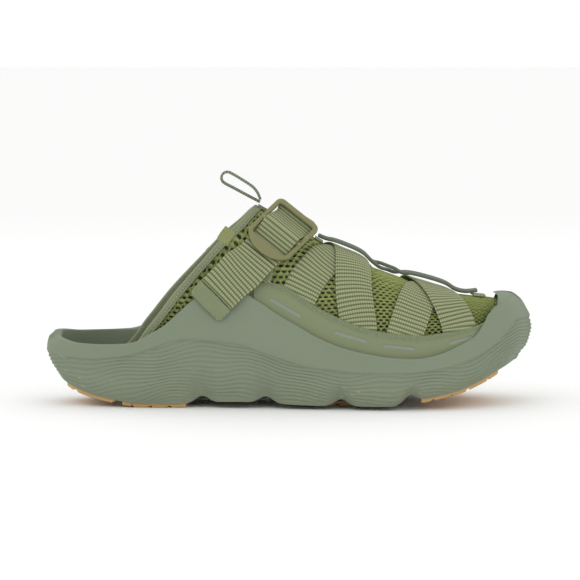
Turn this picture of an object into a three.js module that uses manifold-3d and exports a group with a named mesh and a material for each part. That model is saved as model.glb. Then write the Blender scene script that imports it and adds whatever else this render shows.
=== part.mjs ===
// A backless strappy sport sandal for the right foot: a foam cup sole with a toe bumper and two rubber
// tread plates, a mesh upper with a lining, four webbing straps that cross over the instep, an elastic
// lace, and an adjustable instep strap with a slide buckle.
//
// Millimetres. +X runs from the heel to the toe, +Y to the inner (medial) side of the foot, +Z up.
// The origin is on the ground under the middle of the sole. "Share" values run from 0 at the heel's
// back to 1 at the toe's tip. Angles round the foot run from 0 on the medial side, over the ridge of
// the instep at a quarter turn, to half a turn on the lateral side.
import * as THREE from "three";
import { mergeVertices } from "three/addons/utils/BufferGeometryUtils.js";
import Module from "manifold-3d";

const wasm = await Module();
wasm.setup();

// ---------------------------------------------------------------- driving dimensions

const SOLE_LENGTH = 299.6;
const SOLE_WIDTH = 109; // across the ball of the foot
const UPPER_SCALE = 1; // stretches the upper's height above the footboard

const GAP = 0.3; // between pieces that touch
const MESH_THICK = 2.0;
const LINING_THICK = 1.4;
const STRAP_WIDTH = 22;
const STRAP_THICK = 1.2;
const STRAP_SEAT = 0.6; // from the mesh to the webbing that lies on it
const FILM_THICK = 0.7;
const FOAM_RIM_WALL = 4.2; // the foam's thickness at its top edge
const TREAD_THICK = 3.4;
const TREAD_PROUD = 2.4; // how far the treads stand below the foam
const NOTCH_DEPTH = 4.0; // of the notches between the pods of the sole
const BOARD_THICK = 1.8;
const FOOTBED_THICK = 5.5;
const TOPCLOTH_THICK = 1.2;
const INSTEP_STRAP_WIDTH = 25;
const INSTEP_STRAP_THICK = 1.2;
const ANCHOR_THICK = 1.0;
const LACE_DIAMETER = 2.2;
const BINDING_DEPTH = 4.4; // along the upper's surface
const BINDING_PROUD = 0.4;
const LOOP_TAPE_WIDTH = 8;
const LOOP_TAPE_THICK = 1.5;
const LOOP_LENGTH = 29;
const BUCKLE_THICK = 3;
const BUCKLE_RAIL = 3; // width of its side rails
const BUCKLE_BAR_RADIUS = 1.7;
const BUCKLE_TOP_BAR = [-18, -14.5]; // along the strap, from the centre bar
const BUCKLE_LOW_BAR = [12.4, 16];
const BUCKLE_CLEAR = 4.8; // from the mesh to the centre bar's axis, on a flat foot

// Offsets from the mesh's outer face, built up layer by layer.
const FILM_SEAT = STRAP_SEAT + STRAP_THICK + GAP;
const FOAM_SEAT = FILM_SEAT + FILM_THICK + 2 * GAP;
const LINING_SEAT = -(MESH_THICK + GAP);
const INSIDE_SEAT = LINING_SEAT - LINING_THICK - GAP;

const LATERAL = -1;
const MEDIAL = 1;
const RIDGE = Math.PI / 2;

// ---------------------------------------------------------------- curves of the shoe's shape

// A smooth curve through [share, value] points that never overshoots them (monotone cubic).
function curve(points) {
  const x = points.map((p) => p[0]);
  const y = points.map((p) => p[1]);
  const last = x.length - 1;
  const slope = x.slice(1).map((v, i) => (y[i + 1] - y[i]) / (v - x[i]));
  const tangent = x.map((_, i) => {
    if (i === 0) return slope[0];
    if (i === last) return slope[last - 1];
    const product = slope[i - 1] * slope[i];
    return product <= 0 ? 0 : (2 * product) / (slope[i - 1] + slope[i]);
  });
  return (at) => {
    if (at <= x[0]) return y[0];
    if (at >= x[last]) return y[last];
    let i = 0;
    while (at > x[i + 1]) i += 1;
    const h = x[i + 1] - x[i];
    const t = (at - x[i]) / h;
    return (
      y[i] * (1 + 2 * t) * (1 - t) ** 2 +
      tangent[i] * h * t * (1 - t) ** 2 +
      y[i + 1] * t * t * (3 - 2 * t) +
      tangent[i + 1] * h * t * t * (t - 1)
    );
  };
}

const toX = (share) => (share - 0.5) * SOLE_LENGTH;
const toShare = (x) => x / SOLE_LENGTH + 0.5;
const clamp = (v, low, high) => Math.min(high, Math.max(low, v));
const smooth = (t) => {
  const c = clamp(t, 0, 1);
  return c * c * (3 - 2 * c);
};
const DRAWN_WIDTH = 109; // the sole width that the outlines below are drawn at
const WIDEN = SOLE_WIDTH / DRAWN_WIDTH;

// The treads' lowest line: flat under the heel and under the ball, lifted at the arch and the toe.
const rocker = curve([
  [0.024, 14.6], [0.053, 9.9], [0.077, 7.1], [0.1, 5], [0.13, 3.1], [0.16, 1.3], [0.19, 0],
  [0.28, 0], [0.33, 1], [0.39, 1.7], [0.46, 0.9], [0.54, 0.2], [0.58, 0], [0.7, 0], [0.76, 3.8],
  [0.807, 6.6], [0.837, 8.6], [0.869, 11.8], [0.9, 15.5], [0.931, 19.8], [0.955, 22.2], [1, 27],
]);
const foamBottom = (share) => rocker(share) + TREAD_PROUD;

// The foam's top edge on each side, and the crown of the toe bumper.
const lateralRim = curve([
  [0, 41.5], [0.05, 39], [0.1, 38.7], [0.155, 39.2], [0.183, 40.8], [0.21, 45], [0.242, 50.5],
  [0.271, 58], [0.3, 65.6], [0.35, 74], [0.4, 70.5], [0.44, 63.9], [0.48, 56.2], [0.52, 49.6],
  [0.551, 44.4], [0.598, 38.6], [0.646, 34.9], [0.709, 32], [0.756, 31.4], [0.803, 33.2], [0.848, 37.5],
  [0.879, 41.1],
  [0.91, 47], [0.94, 54], [1, 60],
]);
const medialRim = (share) => lateralRim(share) + 3.2 * (1 - smooth((share - 0.25) / 0.2));
const bumperCrown = curve([[0.88, 50], [0.905, 60], [0.925, 66], [0.94, 68.6], [0.97, 68]]);

// How far the foam's outer face stands inside its plan outline, from its bottom edge (0) to its rim (1).
const heelInset = curve([[0, 8.5], [0.18, 5.5], [0.4, 2], [0.63, 0], [0.88, 1.2], [1, 4.5]]);
const toeInset = curve([
  [0, 11], [0.13, 7.5], [0.2, 4.5], [0.32, 2], [0.5, 0], [0.62, 0.7], [0.8, 4.2], [0.93, 8], [1, 12],
]);
const sideInset = curve([[0, 4.5], [0.12, 1.8], [0.3, 0], [0.5, 0.8]]);

// The plan outline at its widest, as a closed loop: lateral side from heel to toe, then the medial side.
const LATERAL_OUTLINE = [
  [0.006, 9.5], [0.022, 18], [0.06, 28], [0.12, 35.5], [0.2, 38.6], [0.32, 40.5], [0.44, 44.5], [0.56, 50.5],
  [0.67, 54.4], [0.76, 54.2], [0.85, 47], [0.915, 34.5], [0.965, 17.5],
  [0.993, -1],
];
const MEDIAL_OUTLINE = [
  [0.006, 9.5], [0.022, 18], [0.06, 28], [0.12, 35.2], [0.2, 38], [0.32, 38.5], [0.44, 40.5], [0.56, 46.5],
  [0.67, 52.5], [0.76, 54.5], [0.85, 52], [0.92, 43.5], [0.968, 29],
  [0.993, 16],
];
const HEEL_TIP = [0, 0];
const TOE_TIP = [1, 7];
const outlineLoop = new THREE.CatmullRomCurve3(
  [
    HEEL_TIP,
    ...LATERAL_OUTLINE.map(([s, y]) => [s, -y]),
    TOE_TIP,
    ...MEDIAL_OUTLINE.toReversed(),
  ].map(([s, y]) => new THREE.Vector3(toX(s), y * WIDEN, 0)),
  true,
  "catmullrom",
);

// The mesh upper's cross-section stands on the footboard as half a superellipse.
const centreLine = curve([[0.03, 0], [0.5, 0], [0.75, 1.5], [0.9, 5], [0.97, 8]]);
const lateralHalf = curve([
  [0.03, 27], [0.1, 29.5], [0.18, 30.5], [0.3, 32], [0.42, 35], [0.55, 41], [0.66, 46], [0.75, 46.5],
  [0.84, 43], [0.91, 36], [0.97, 27],
]);
const medialHalf = curve([
  [0.03, 27], [0.1, 29.5], [0.18, 30], [0.3, 30.5], [0.42, 33], [0.55, 38.5], [0.66, 43.5],
  [0.75, 44.5], [0.84, 41], [0.91, 34.5], [0.97, 26],
]);
const floorLine = curve([
  [0.03, 24], [0.2, 21], [0.4, 20], [0.6, 17], [0.7, 17.5], [0.8, 21], [0.9, 29], [0.97, 37],
]);
const ridgeLine = curve([
  [0, 200], [0.2, 190], [0.3, 175], [0.35, 156], [0.37, 143], [0.4, 128], [0.433, 120.5], [0.47, 114.5],
  [0.5, 110.5], [0.54, 103.5], [0.567, 98], [0.6, 93], [0.64, 88], [0.67, 83], [0.694, 80.3],
  [0.724, 77], [0.75, 73.5], [0.777, 71], [0.807, 68.3], [0.837, 66.6], [0.874, 65.2], [0.91, 64.2],
  [0.934, 62.8], [0.97, 61],
]);
const squareness = curve([[0.2, 2.5], [0.35, 2.2], [0.45, 2], [0.55, 2.05], [0.65, 2.3], [0.8, 2.4]]);
const LAST_HEEL = 0.042;
const LAST_TOE = 0.966;
const HEEL_ROUND = 0.11;
const TOE_ROUND = 0.12;
const TOE_DROP = 0.045;

const quarterRound = (distance, radius) =>
  distance >= radius ? 1 : Math.sqrt(Math.max(0, 1 - (1 - distance / radius) ** 2));

// The cross-section at one share of the length, grown outward by an offset.
function section(share, offset = 0) {
  const edge = offset / SOLE_LENGTH;
  const toHeel = share - (LAST_HEEL - edge);
  const toToe = LAST_TOE + edge - share;
  const round = quarterRound(toHeel, HEEL_ROUND) * quarterRound(toToe, TOE_ROUND);
  const floor = floorLine(share);
  const rise = (ridgeLine(share) - floor) * UPPER_SCALE * quarterRound(toToe, TOE_DROP);
  return {
    centre: centreLine(share) * WIDEN,
    floor,
    lateral: (lateralHalf(share) * WIDEN + offset) * round,
    medial: (medialHalf(share) * WIDEN + offset) * round,
    rise: Math.max(rise + offset, 1),
    power: squareness(share),
  };
}

// The point of the upper's surface at a share of the length and an angle round the foot.
function onUpper(share, angle, offset = 0) {
  const s = section(share, offset);
  const half = Math.cos(angle) < 0 ? s.lateral : s.medial;
  const across = Math.abs(Math.cos(angle)) / Math.max(half, 0.01);
  const up = Math.max(0, Math.sin(angle)) / s.rise;
  const radius = (across ** s.power + up ** s.power) ** (-1 / s.power);
  return new THREE.Vector3(
    toX(share),
    s.centre + radius * Math.cos(angle),
    s.floor + radius * Math.sin(angle),
  );
}

// The angle round the foot of a height on one side.
function angleAt(share, side, height) {
  const s = section(share);
  const up = clamp((height - s.floor) / s.rise, 0, 1);
  const half = side === LATERAL ? s.lateral : s.medial;
  const across = half * (1 - up ** s.power) ** (1 / s.power);
  return Math.atan2(height - s.floor, side * across);
}

function outward(share, angle) {
  const step = 0.002;
  const along = onUpper(share + step, angle).sub(onUpper(share - step, angle));
  const round = onUpper(share, angle + step).sub(onUpper(share, angle - step));
  return round.cross(along).normalize();
}

// The point of the upper's surface, at an offset, that lies under a given point.
function drape(point, offset) {
  const share = toShare(point.x);
  const s = section(share);
  return onUpper(share, Math.atan2(point.z - s.floor, point.y - s.centre), offset);
}

// ---------------------------------------------------------------- solids

function geometryOf(points, faces) {
  const geometry = new THREE.BufferGeometry();
  const flat = points.flatMap((p) => [p.x, p.y, p.z]);
  geometry.setAttribute("position", new THREE.Float32BufferAttribute(flat, 3));
  geometry.setIndex(faces.flat());
  return geometry;
}

// A closed solid from rings of equal length; each end is closed by a fan or, for a flat strip, by a ladder.
function loft(rings, closeEnds = true) {
  const count = rings[0].length;
  const points = rings.flat();
  const faces = [];
  for (let r = 0; r + 1 < rings.length; r += 1) {
    for (let i = 0; i < count; i += 1) {
      const j = (i + 1) % count;
      const [a, b, c, d] = [r * count + i, r * count + j, (r + 1) * count + j, (r + 1) * count + i];
      faces.push([a, b, c], [a, c, d]);
    }
  }
  if (closeEnds) {
    const end = (rings.length - 1) * count;
    for (let i = 1; i + 1 < count; i += 1) {
      faces.push([0, i + 1, i], [end, end + i, end + i + 1]);
    }
  }
  return geometryOf(points, faces);
}

function solid(geometry) {
  const plain = new THREE.BufferGeometry();
  plain.setAttribute("position", geometry.getAttribute("position").clone());
  if (geometry.index) plain.setIndex(geometry.index.clone());
  const merged = mergeVertices(plain, 1e-3);
  const make = (triVerts) =>
    new wasm.Manifold(
      new wasm.Mesh({ numProp: 3, vertProperties: merged.attributes.position.array, triVerts }),
    );
  const corners = merged.index.array;
  const kept = [];
  for (let i = 0; i < corners.length; i += 3) {
    const [a, b, c] = corners.slice(i, i + 3);
    if (a !== b && b !== c && c !== a) kept.push(a, b, c);
  }
  const triVerts = new Uint32Array(kept);
  const made = make(triVerts);
  if (made.volume() > 0) return made;
  for (let i = 0; i < triVerts.length; i += 3) {
    [triVerts[i + 1], triVerts[i + 2]] = [triVerts[i + 2], triVerts[i + 1]];
  }
  return make(triVerts);
}

function largest(manifold) {
  const bodies = manifold.decompose();
  return bodies.reduce((best, body) => (body.volume() > best.volume() ? body : best), bodies[0]);
}

const SLIVER = 0.02; // edges of cut faces shorter than this are closed up

function toGeometry(manifold) {
  const mesh = manifold.simplify(SLIVER).getMesh();
  const flat = new Float32Array(mesh.numVert * 3);
  for (let i = 0; i < mesh.numVert; i += 1) {
    flat.set(mesh.vertProperties.subarray(i * mesh.numProp, i * mesh.numProp + 3), i * 3);
  }
  const geometry = new THREE.BufferGeometry();
  geometry.setAttribute("position", new THREE.BufferAttribute(flat, 3));
  geometry.setIndex(new THREE.BufferAttribute(mesh.triVerts, 1));
  return geometry;
}

// The whole volume inside the upper's surface at an offset, from floorDrop below the footboard.
function lastSolid(offset, floorDrop = 0, stations = 34, spokes = 14) {
  const start = LAST_HEEL - offset / SOLE_LENGTH + 0.0008;
  const end = LAST_TOE + offset / SOLE_LENGTH - 0.0008;
  const rings = [];
  for (let i = 0; i <= stations; i += 1) {
    const t = i / stations;
    const eased = (1 - Math.cos(Math.PI * t)) / 2;
    const share = start + (end - start) * (0.55 * t + 0.45 * eased);
    const ring = [];
    for (let k = 0; k <= spokes; k += 1) ring.push(onUpper(share, (Math.PI * k) / spokes, offset));
    const down = new THREE.Vector3(0, 0, floorDrop);
    ring.push(ring[spokes].clone().sub(down), ring[0].clone().sub(down));
    rings.push(floorDrop > 0 ? ring : ring.slice(0, spokes + 1));
  }
  return solid(loft(rings));
}

// A block whose side view is the given outline of [x, z] points and that spans a range of Y.
function sideBlock(outline, fromY, toY) {
  const shape = new THREE.Shape(outline.map(([x, z]) => new THREE.Vector2(x, z)));
  const geometry = new THREE.ExtrudeGeometry(shape, { depth: toY - fromY, bevelEnabled: false });
  geometry.rotateX(Math.PI / 2); // the shape's second axis becomes Z, and its depth runs along -Y
  geometry.translate(0, toY, 0);
  return solid(geometry);
}

// A band of webbing or tape: a rectangle carried along points, facing along the normals.
function ribbon(points, normals, width, thick, cells = 2, project = null) {
  const rings = points.map((p, i) => {
    const ahead = points[Math.min(i + 1, points.length - 1)];
    const behind = points[Math.max(i - 1, 0)];
    const along = ahead.clone().sub(behind).normalize();
    const side = normals[i].clone().cross(along).normalize();
    const under = [];
    const over = [];
    for (let k = 0; k <= cells; k += 1) {
      const shift = (k / cells - 0.5) * width;
      const base = p.clone().addScaledVector(side, shift);
      under.push(project ? project(base, i, 0) : base);
      over.push(project ? project(base, i, thick) : base.clone().addScaledVector(normals[i], thick));
    }
    return [...under, ...over.toReversed()];
  });
  return loft(rings);
}

const MEAN_RADIUS = 45; // turns angles round the foot into lengths of about the right size

// Evenly spread points on a smooth curve through [share, angle, lift] nodes on the upper.
function upperPath(nodes, steps) {
  const path = new THREE.CatmullRomCurve3(
    nodes.map(([s, angle, lift = 0]) => new THREE.Vector3(s * SOLE_LENGTH, angle * MEAN_RADIUS, lift)),
    false,
    "centripetal",
  );
  return path
    .getSpacedPoints(steps)
    .map((p) => new THREE.Vector3(p.x / SOLE_LENGTH, p.y / MEAN_RADIUS, p.z));
}

// A strap that lies on the upper, lifted where its nodes say.
function drapedStrap(nodes, width, seat, thick, steps = 24, cells = 3) {
  const path = upperPath(nodes, steps);
  const points = path.map((n) => onUpper(n.x, n.y, seat + n.z));
  const normals = path.map((n) => outward(n.x, n.y));
  return ribbon(points, normals, width, thick, cells, (base, i, up) =>
    drape(base, seat + path[i].z + up),
  );
}

// ---------------------------------------------------------------- the assembly

const sandal = new THREE.Group();

const finish = (color, roughness, metalness = 0) =>
  new THREE.MeshStandardMaterial({ color, roughness, metalness });
const FOAM = finish(0x76836a, 0.75);
const GUM = finish(0xc9a25a, 0.6);
const MESH = finish(0x8d9a55, 0.85);
const WEBBING = finish(0x7e8b5f, 0.85);
const FILM = finish(0x7f8c5e, 0.5);
const KNIT = finish(0x6d7866, 0.9);
const LINING_MATERIAL = finish(0x5c665c, 0.9);
const MOULDED = finish(0x84835a, 0.45);
const LACE = finish(0x5f6a58, 0.8);
const LABEL_MATERIAL = finish(0x9a9a5a, 0.7);
const LOOP_MATERIAL = finish(0x77835c, 0.85);

function place(name, material, shape) {
  const geometry = shape.isBufferGeometry ? shape : toGeometry(shape);
  const mesh = new THREE.Mesh(geometry, material);
  mesh.name = name;
  sandal.add(mesh);
  return mesh;
}

// ---------------------------------------------------------------- sole

const NOTCHES = [0.32, 0.448, 0.6, 0.743]; // shares where the pods part
const NOTCH_SPREAD = 0.018;
const DENT_SPREAD = 0.026;
const DENT_DEPTH = 3.6;
const DENT_TOP = 0.55; // share of the wall's height where the dents fade out

const bumps = (share, spread) =>
  NOTCHES.reduce((sum, at) => sum + Math.exp(-(((share - at) / spread) ** 2)), 0);

const FOAM_LEVELS = [0, 0.1, 0.25, 0.5, 0.72, 0.9, 1];
const FOAM_ACROSS = [-0.8, -0.42, 0, 0.42, 0.8];
const FOAM_STATIONS = 58;

// One column of the foam's outer face, from its bottom edge to its rim, at a place on the outline.
function foamColumn(around) {
  const p = outlineLoop.getPoint(around);
  const t = outlineLoop.getTangent(around);
  const normal = new THREE.Vector3(t.y, -t.x, 0).normalize();
  const share = clamp(toShare(p.x), 0, 1);
  const side = around < 0.5 ? LATERAL : MEDIAL;
  const bottom = foamBottom(share) + NOTCH_DEPTH * bumps(share, NOTCH_SPREAD);
  const rim = side === LATERAL ? lateralRim(share) : medialRim(share);
  const within = clamp(share, 0.07, 0.92);
  const seat = onUpper(within, angleAt(within, side, rim), FOAM_SEAT + FOAM_RIM_WALL);
  const rimInset = clamp(Math.abs(p.y) - Math.abs(seat.y), 1, 16);
  const end = normal.x ** 2;
  const top = normal.x > 0 ? end * bumperCrown(share) + (1 - end) * rim : rim;
  return FOAM_LEVELS.map((level) => {
    const upper = smooth((level - 0.5) * 2);
    const sides = level <= 0.5 ? sideInset(level) : 0.8 + (rimInset - 0.8) * upper;
    const ends = normal.x > 0 ? toeInset(level) : heelInset(level);
    const dent = DENT_DEPTH * bumps(share, DENT_SPREAD) * (1 - smooth(level / DENT_TOP));
    const point = p.clone().addScaledVector(normal, -(end * ends + (1 - end) * sides + dent));
    point.z = bottom + (top - bottom) * level;
    return point;
  });
}

// The foam as one closed block before its cavity is cut: walls, underside and a domed top.
function foamBlock() {
  const rings = [];
  for (let i = 0; i <= FOAM_STATIONS; i += 1) {
    const tip = i === 0 || i === FOAM_STATIONS;
    const lateral = foamColumn(i / FOAM_STATIONS / 2);
    const medial = tip ? lateral : foamColumn(1 - (i / FOAM_STATIONS) * 0.5);
    const top = FOAM_LEVELS.length - 1;
    const over = FOAM_ACROSS.map((s) => {
      const p = lateral[top].clone().lerp(medial[top], (s + 1) / 2);
      const crown = Math.max(p.z, bumperCrown(clamp(toShare(p.x), 0, 1)));
      if (!tip && toShare(p.x) > 0.86) p.z += (crown - p.z) * (1 - Math.abs(s) ** 2.5);
      return p;
    });
    const under = FOAM_ACROSS.toReversed().map((s) => {
      const p = lateral[0].clone().lerp(medial[0], (s + 1) / 2);
      const share = clamp(toShare(p.x), 0, 1);
      const notch = NOTCH_DEPTH * bumps(share, NOTCH_SPREAD) * smooth(Math.abs(s) * 1.4 - 0.4);
      if (!tip) p.z = foamBottom(share) + notch;
      return p;
    });
    rings.push([...lateral, ...over, ...medial.toReversed(), ...under]);
  }
  return solid(loft(rings, false));
}

// The half widths of the sole's bottom edge at a share of the length.
function bottomEdge(share) {
  const reach = (side) => {
    let low = 0;
    let high = 0.5;
    for (let i = 0; i < 24; i += 1) {
      const middle = (low + high) / 2;
      const point = foamColumn(side === LATERAL ? middle : 1 - middle)[0];
      if (point.x < toX(share)) low = middle;
      else high = middle;
    }
    return side * foamColumn(side === LATERAL ? low : 1 - low)[0].y;
  };
  return [reach(LATERAL), reach(MEDIAL)];
}

const TREAD_MARGIN = 1.2; // the treads stop this far inside the foam's bottom edge
const TREADS = [
  { name: "heel_tread", from: 0.045, to: 0.145, half: null },
  { name: "rear_tread", from: 0.16, to: 0.29, half: null },
  { name: "arch_tread", from: 0.345, to: 0.425, half: 16 },
  { name: "ball_tread", from: 0.575, to: 0.715, half: 24 },
  { name: "front_tread", from: 0.765, to: 0.925, half: null },
];
const TREAD_STEPS = 9;

// A tread plate under part of the sole, as wide as the sole or narrower, grown by a clearance.
function treadPlate(tread, grow = 0) {
  const rings = [];
  for (let i = 0; i <= TREAD_STEPS; i += 1) {
    const share = tread.from + ((tread.to - tread.from) * i) / TREAD_STEPS;
    const reach = i === 0 ? -grow : i === TREAD_STEPS ? grow : 0;
    const x = toX(share) + reach;
    const [lateral, medial] = tread.half
      ? [tread.half, tread.half]
      : bottomEdge(share).map((w) => w - TREAD_MARGIN);
    const [low, high] = [rocker(share) - grow, rocker(share) + TREAD_THICK + grow];
    rings.push([
      new THREE.Vector3(x, -lateral - grow, low),
      new THREE.Vector3(x, medial + grow, low),
      new THREE.Vector3(x, medial + grow, high),
      new THREE.Vector3(x, -lateral - grow, high),
    ]);
  }
  return solid(loft(rings));
}

function midsole() {
  let foam = foamBlock().subtract(lastSolid(FOAM_SEAT, BOARD_THICK + 2 * GAP));
  TREADS.forEach((tread) => {
    foam = foam.subtract(treadPlate(tread, GAP));
  });
  return largest(foam);
}

// A slab on the footboard between two heights above it, as wide as the upper at an offset.
function floorSlab(offsetAt, low, high, from, to, steps = 22) {
  const rings = [];
  for (let i = 0; i <= steps; i += 1) {
    const eased = (1 - Math.cos((Math.PI * i) / steps)) / 2;
    const share = from + (to - from) * (0.5 * (i / steps) + 0.5 * eased);
    const s = section(share, offsetAt(share));
    rings.push([
      new THREE.Vector3(toX(share), s.centre - s.lateral, s.floor + low),
      new THREE.Vector3(toX(share), s.centre + s.medial, s.floor + low),
      new THREE.Vector3(toX(share), s.centre + s.medial, s.floor + high),
      new THREE.Vector3(toX(share), s.centre - s.lateral, s.floor + high),
    ]);
  }
  return solid(loft(rings));
}

const UPPER_START = 0.12; // the upper's sides begin here; behind it the footbed meets the foam
const footbedOffset = (share) => {
  const front = smooth((share - 0.05) / (UPPER_START - 0.055));
  return (FOAM_SEAT - 2 * GAP) * (1 - front) + (INSIDE_SEAT - 2 * GAP) * front;
};
const SLAB_FROM = LAST_HEEL + 0.002;
const SLAB_TO = LAST_TOE - 0.026;

place("midsole_foam", FOAM, midsole());
TREADS.forEach((tread) => place(tread.name, GUM, treadPlate(tread)));
place(
  "insole_board",
  KNIT,
  floorSlab(() => FOAM_SEAT - 3 * GAP, -BOARD_THICK - GAP, -GAP, SLAB_FROM, LAST_TOE - 0.006),
);
place("footbed", LINING_MATERIAL, floorSlab(footbedOffset, 0, FOOTBED_THICK, SLAB_FROM, SLAB_TO));
place(
  "footbed_topcloth",
  KNIT,
  floorSlab(
    (share) => footbedOffset(share) - 0.6,
    FOOTBED_THICK + GAP,
    FOOTBED_THICK + GAP + TOPCLOTH_THICK,
    SLAB_FROM,
    SLAB_TO,
  ),
);

// ---------------------------------------------------------------- upper

const COLLAR = [
  [0.135, 22], [0.163, 30], [0.195, 41], [0.21, 47.9], [0.222, 52.1], [0.242, 60.1], [0.269, 71.1],
  [0.294, 79.6], [0.324, 89.9], [0.365, 102.4], [0.403, 113.4], [0.433, 122.5], [0.45, 150],
];
const MEDIAL_COLLAR_BACK = 3.5; // the collar's lower part stands further back on the medial side
const SEAM = 0.535; // where the quarters meet the vamp, under the rear straps

const scaleHeight = (share, z) => floorLine(share) + (z - floorLine(share)) * UPPER_SCALE;

// The region in front of the collar's edge on one side, moved forward by a set-back.
function collarBlock(side, setBack, floorLift) {
  const back = COLLAR.map(([s, z]) => {
    const shift = side === MEDIAL ? -MEDIAL_COLLAR_BACK * clamp((105 - z) / 45, 0, 1) : 0;
    return [toX(s) + shift + setBack, scaleHeight(s, z)];
  }).filter(([x, z]) => z > floorLine(toShare(x)) + floorLift + 1);
  const floor = [];
  for (let s = 0.99; s > UPPER_START + 0.04; s -= 0.05) floor.push([toX(s), floorLine(s) + floorLift]);
  const roof = back[back.length - 1][1] + 20;
  const outline = [...back, [toX(1), roof], ...floor];
  return side === LATERAL ? sideBlock(outline, -90, 0.02) : sideBlock(outline, -0.02, 90);
}

function shell(offset, thick) {
  return lastSolid(offset, 0, 34, 14).subtract(lastSolid(offset - thick, 6, 34, 14));
}

const slice = (from, to, fromY, toY) =>
  sideBlock([[toX(from), -10], [toX(to), -10], [toX(to), 400], [toX(from), 400]], fromY, toY);

const inFront = (setBack, lift) => collarBlock(LATERAL, setBack, lift).add(collarBlock(MEDIAL, setBack, lift));
const meshShell = shell(0, MESH_THICK).intersect(inFront(BINDING_DEPTH + GAP, GAP));
const liningShell = shell(LINING_SEAT, LINING_THICK).intersect(inFront(BINDING_DEPTH + GAP, GAP));
const bindingThick = BINDING_PROUD + MESH_THICK + GAP + LINING_THICK;
const bindingShell = shell(BINDING_PROUD, bindingThick)
  .intersect(inFront(0, GAP))
  .subtract(inFront(BINDING_DEPTH, -8));

const HALF_SEAM = GAP / 2 / SOLE_LENGTH;
const lateralSide = slice(-0.1, SEAM - HALF_SEAM, -90, -GAP / 2);
const medialSide = slice(-0.1, SEAM - HALF_SEAM, GAP / 2, 90);
place("mesh_vamp", MESH, largest(meshShell.intersect(slice(SEAM + HALF_SEAM, 1.1, -90, 90))));
place("mesh_quarter_lateral", MESH, largest(meshShell.intersect(lateralSide)));
place("mesh_quarter_medial", MESH, largest(meshShell.intersect(medialSide)));
place("upper_lining", LINING_MATERIAL, largest(liningShell));
place("collar_binding_lateral", KNIT, largest(bindingShell.intersect(lateralSide)));
place("collar_binding_medial", KNIT, largest(bindingShell.intersect(medialSide)));

// ---------------------------------------------------------------- straps over the vamp

const STRAP_STEP = STRAP_THICK + 2 * GAP; // the upper strap of a crossing is lifted by this much
const node = (share, side, z, lift = 0) => [share, angleAt(share, side, scaleHeight(share, z)), lift];
const ridge = (share, lift = 0) => [share, RIDGE, lift];

const STRAPS = {
  rear_strap_under: [
    node(0.497, LATERAL, 54), node(0.53, LATERAL, 74), ridge(0.62),
    node(0.645, MEDIAL, 62), node(0.64, MEDIAL, 42),
  ],
  rear_strap_over: [
    node(0.64, LATERAL, 42), node(0.637, LATERAL, 54), node(0.63, LATERAL, 67, STRAP_STEP),
    ridge(0.622, STRAP_STEP), node(0.575, MEDIAL, 80, STRAP_STEP), node(0.545, MEDIAL, 70), node(0.52, MEDIAL, 52),
  ],
  front_strap_under: [
    node(0.724, LATERAL, 38), node(0.745, LATERAL, 56), ridge(0.79),
    node(0.832, MEDIAL, 52), node(0.845, MEDIAL, 40),
  ],
  front_strap_over: [
    node(0.847, LATERAL, 39), node(0.842, LATERAL, 49), node(0.828, LATERAL, 58, STRAP_STEP),
    ridge(0.784, STRAP_STEP), node(0.752, MEDIAL, 62, STRAP_STEP), node(0.738, MEDIAL, 50), node(0.724, MEDIAL, 38),
  ],
};
Object.entries(STRAPS).forEach(([name, nodes]) =>
  place(name, WEBBING, solid(drapedStrap(nodes, STRAP_WIDTH, STRAP_SEAT, STRAP_THICK))),
);

// A thin film along the foam's rim, over the ends of the straps.
const filmTop = curve([
  [0.427, 75.2], [0.483, 72], [0.546, 61], [0.593, 54.2], [0.666, 46.8], [0.715, 44.7], [0.766, 43.7],
  [0.81, 45], [0.848, 46.5], [0.873, 48], [0.894, 49.9],
]);
const FILM_TUCK = 5; // how far the film runs down behind the foam's rim

function film(side, steps = 22, cells = 4) {
  const rim = side === LATERAL ? lateralRim : medialRim;
  const rings = [];
  for (let i = 0; i <= steps; i += 1) {
    const share = 0.427 + ((0.9 - 0.427) * i) / steps;
    const low = rim(share) - FILM_TUCK;
    const high = Math.max(filmTop(share), rim(share) + 1.5);
    const under = [];
    const over = [];
    for (let k = 0; k <= cells; k += 1) {
      const angle = angleAt(share, side, low + ((high - low) * k) / cells);
      under.push(onUpper(share, angle, FILM_SEAT));
      over.push(onUpper(share, angle, FILM_SEAT + FILM_THICK));
    }
    rings.push([...under, ...over.toReversed()]);
  }
  return solid(loft(rings));
}
place("film_band_lateral", FILM, film(LATERAL));
place("film_band_medial", FILM, film(MEDIAL));

// ---------------------------------------------------------------- instep strap and buckle

const BUCKLE_AT = node(0.483, LATERAL, 99);
const STRAP_HEADING = node(0.447, LATERAL, 88);
// A wider strap stands further off the round of the foot.
const BUCKLE_SEAT = BUCKLE_CLEAR + INSTEP_STRAP_WIDTH ** 2 / 8 / MEAN_RADIUS;

// The buckle's own frame: u across the strap, v along it towards the tail, w away from the foot.
const buckleFrame = (() => {
  const origin = onUpper(BUCKLE_AT[0], BUCKLE_AT[1], BUCKLE_SEAT);
  const w = outward(BUCKLE_AT[0], BUCKLE_AT[1]);
  const v = onUpper(STRAP_HEADING[0], STRAP_HEADING[1], BUCKLE_SEAT).sub(origin);
  v.addScaledVector(w, -v.dot(w)).normalize();
  const u = v.clone().cross(w).normalize();
  return { origin, u, v, w };
})();
const local = (u, v, w) =>
  buckleFrame.origin
    .clone()
    .addScaledVector(buckleFrame.u, u)
    .addScaledVector(buckleFrame.v, v)
    .addScaledVector(buckleFrame.w, w);

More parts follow.
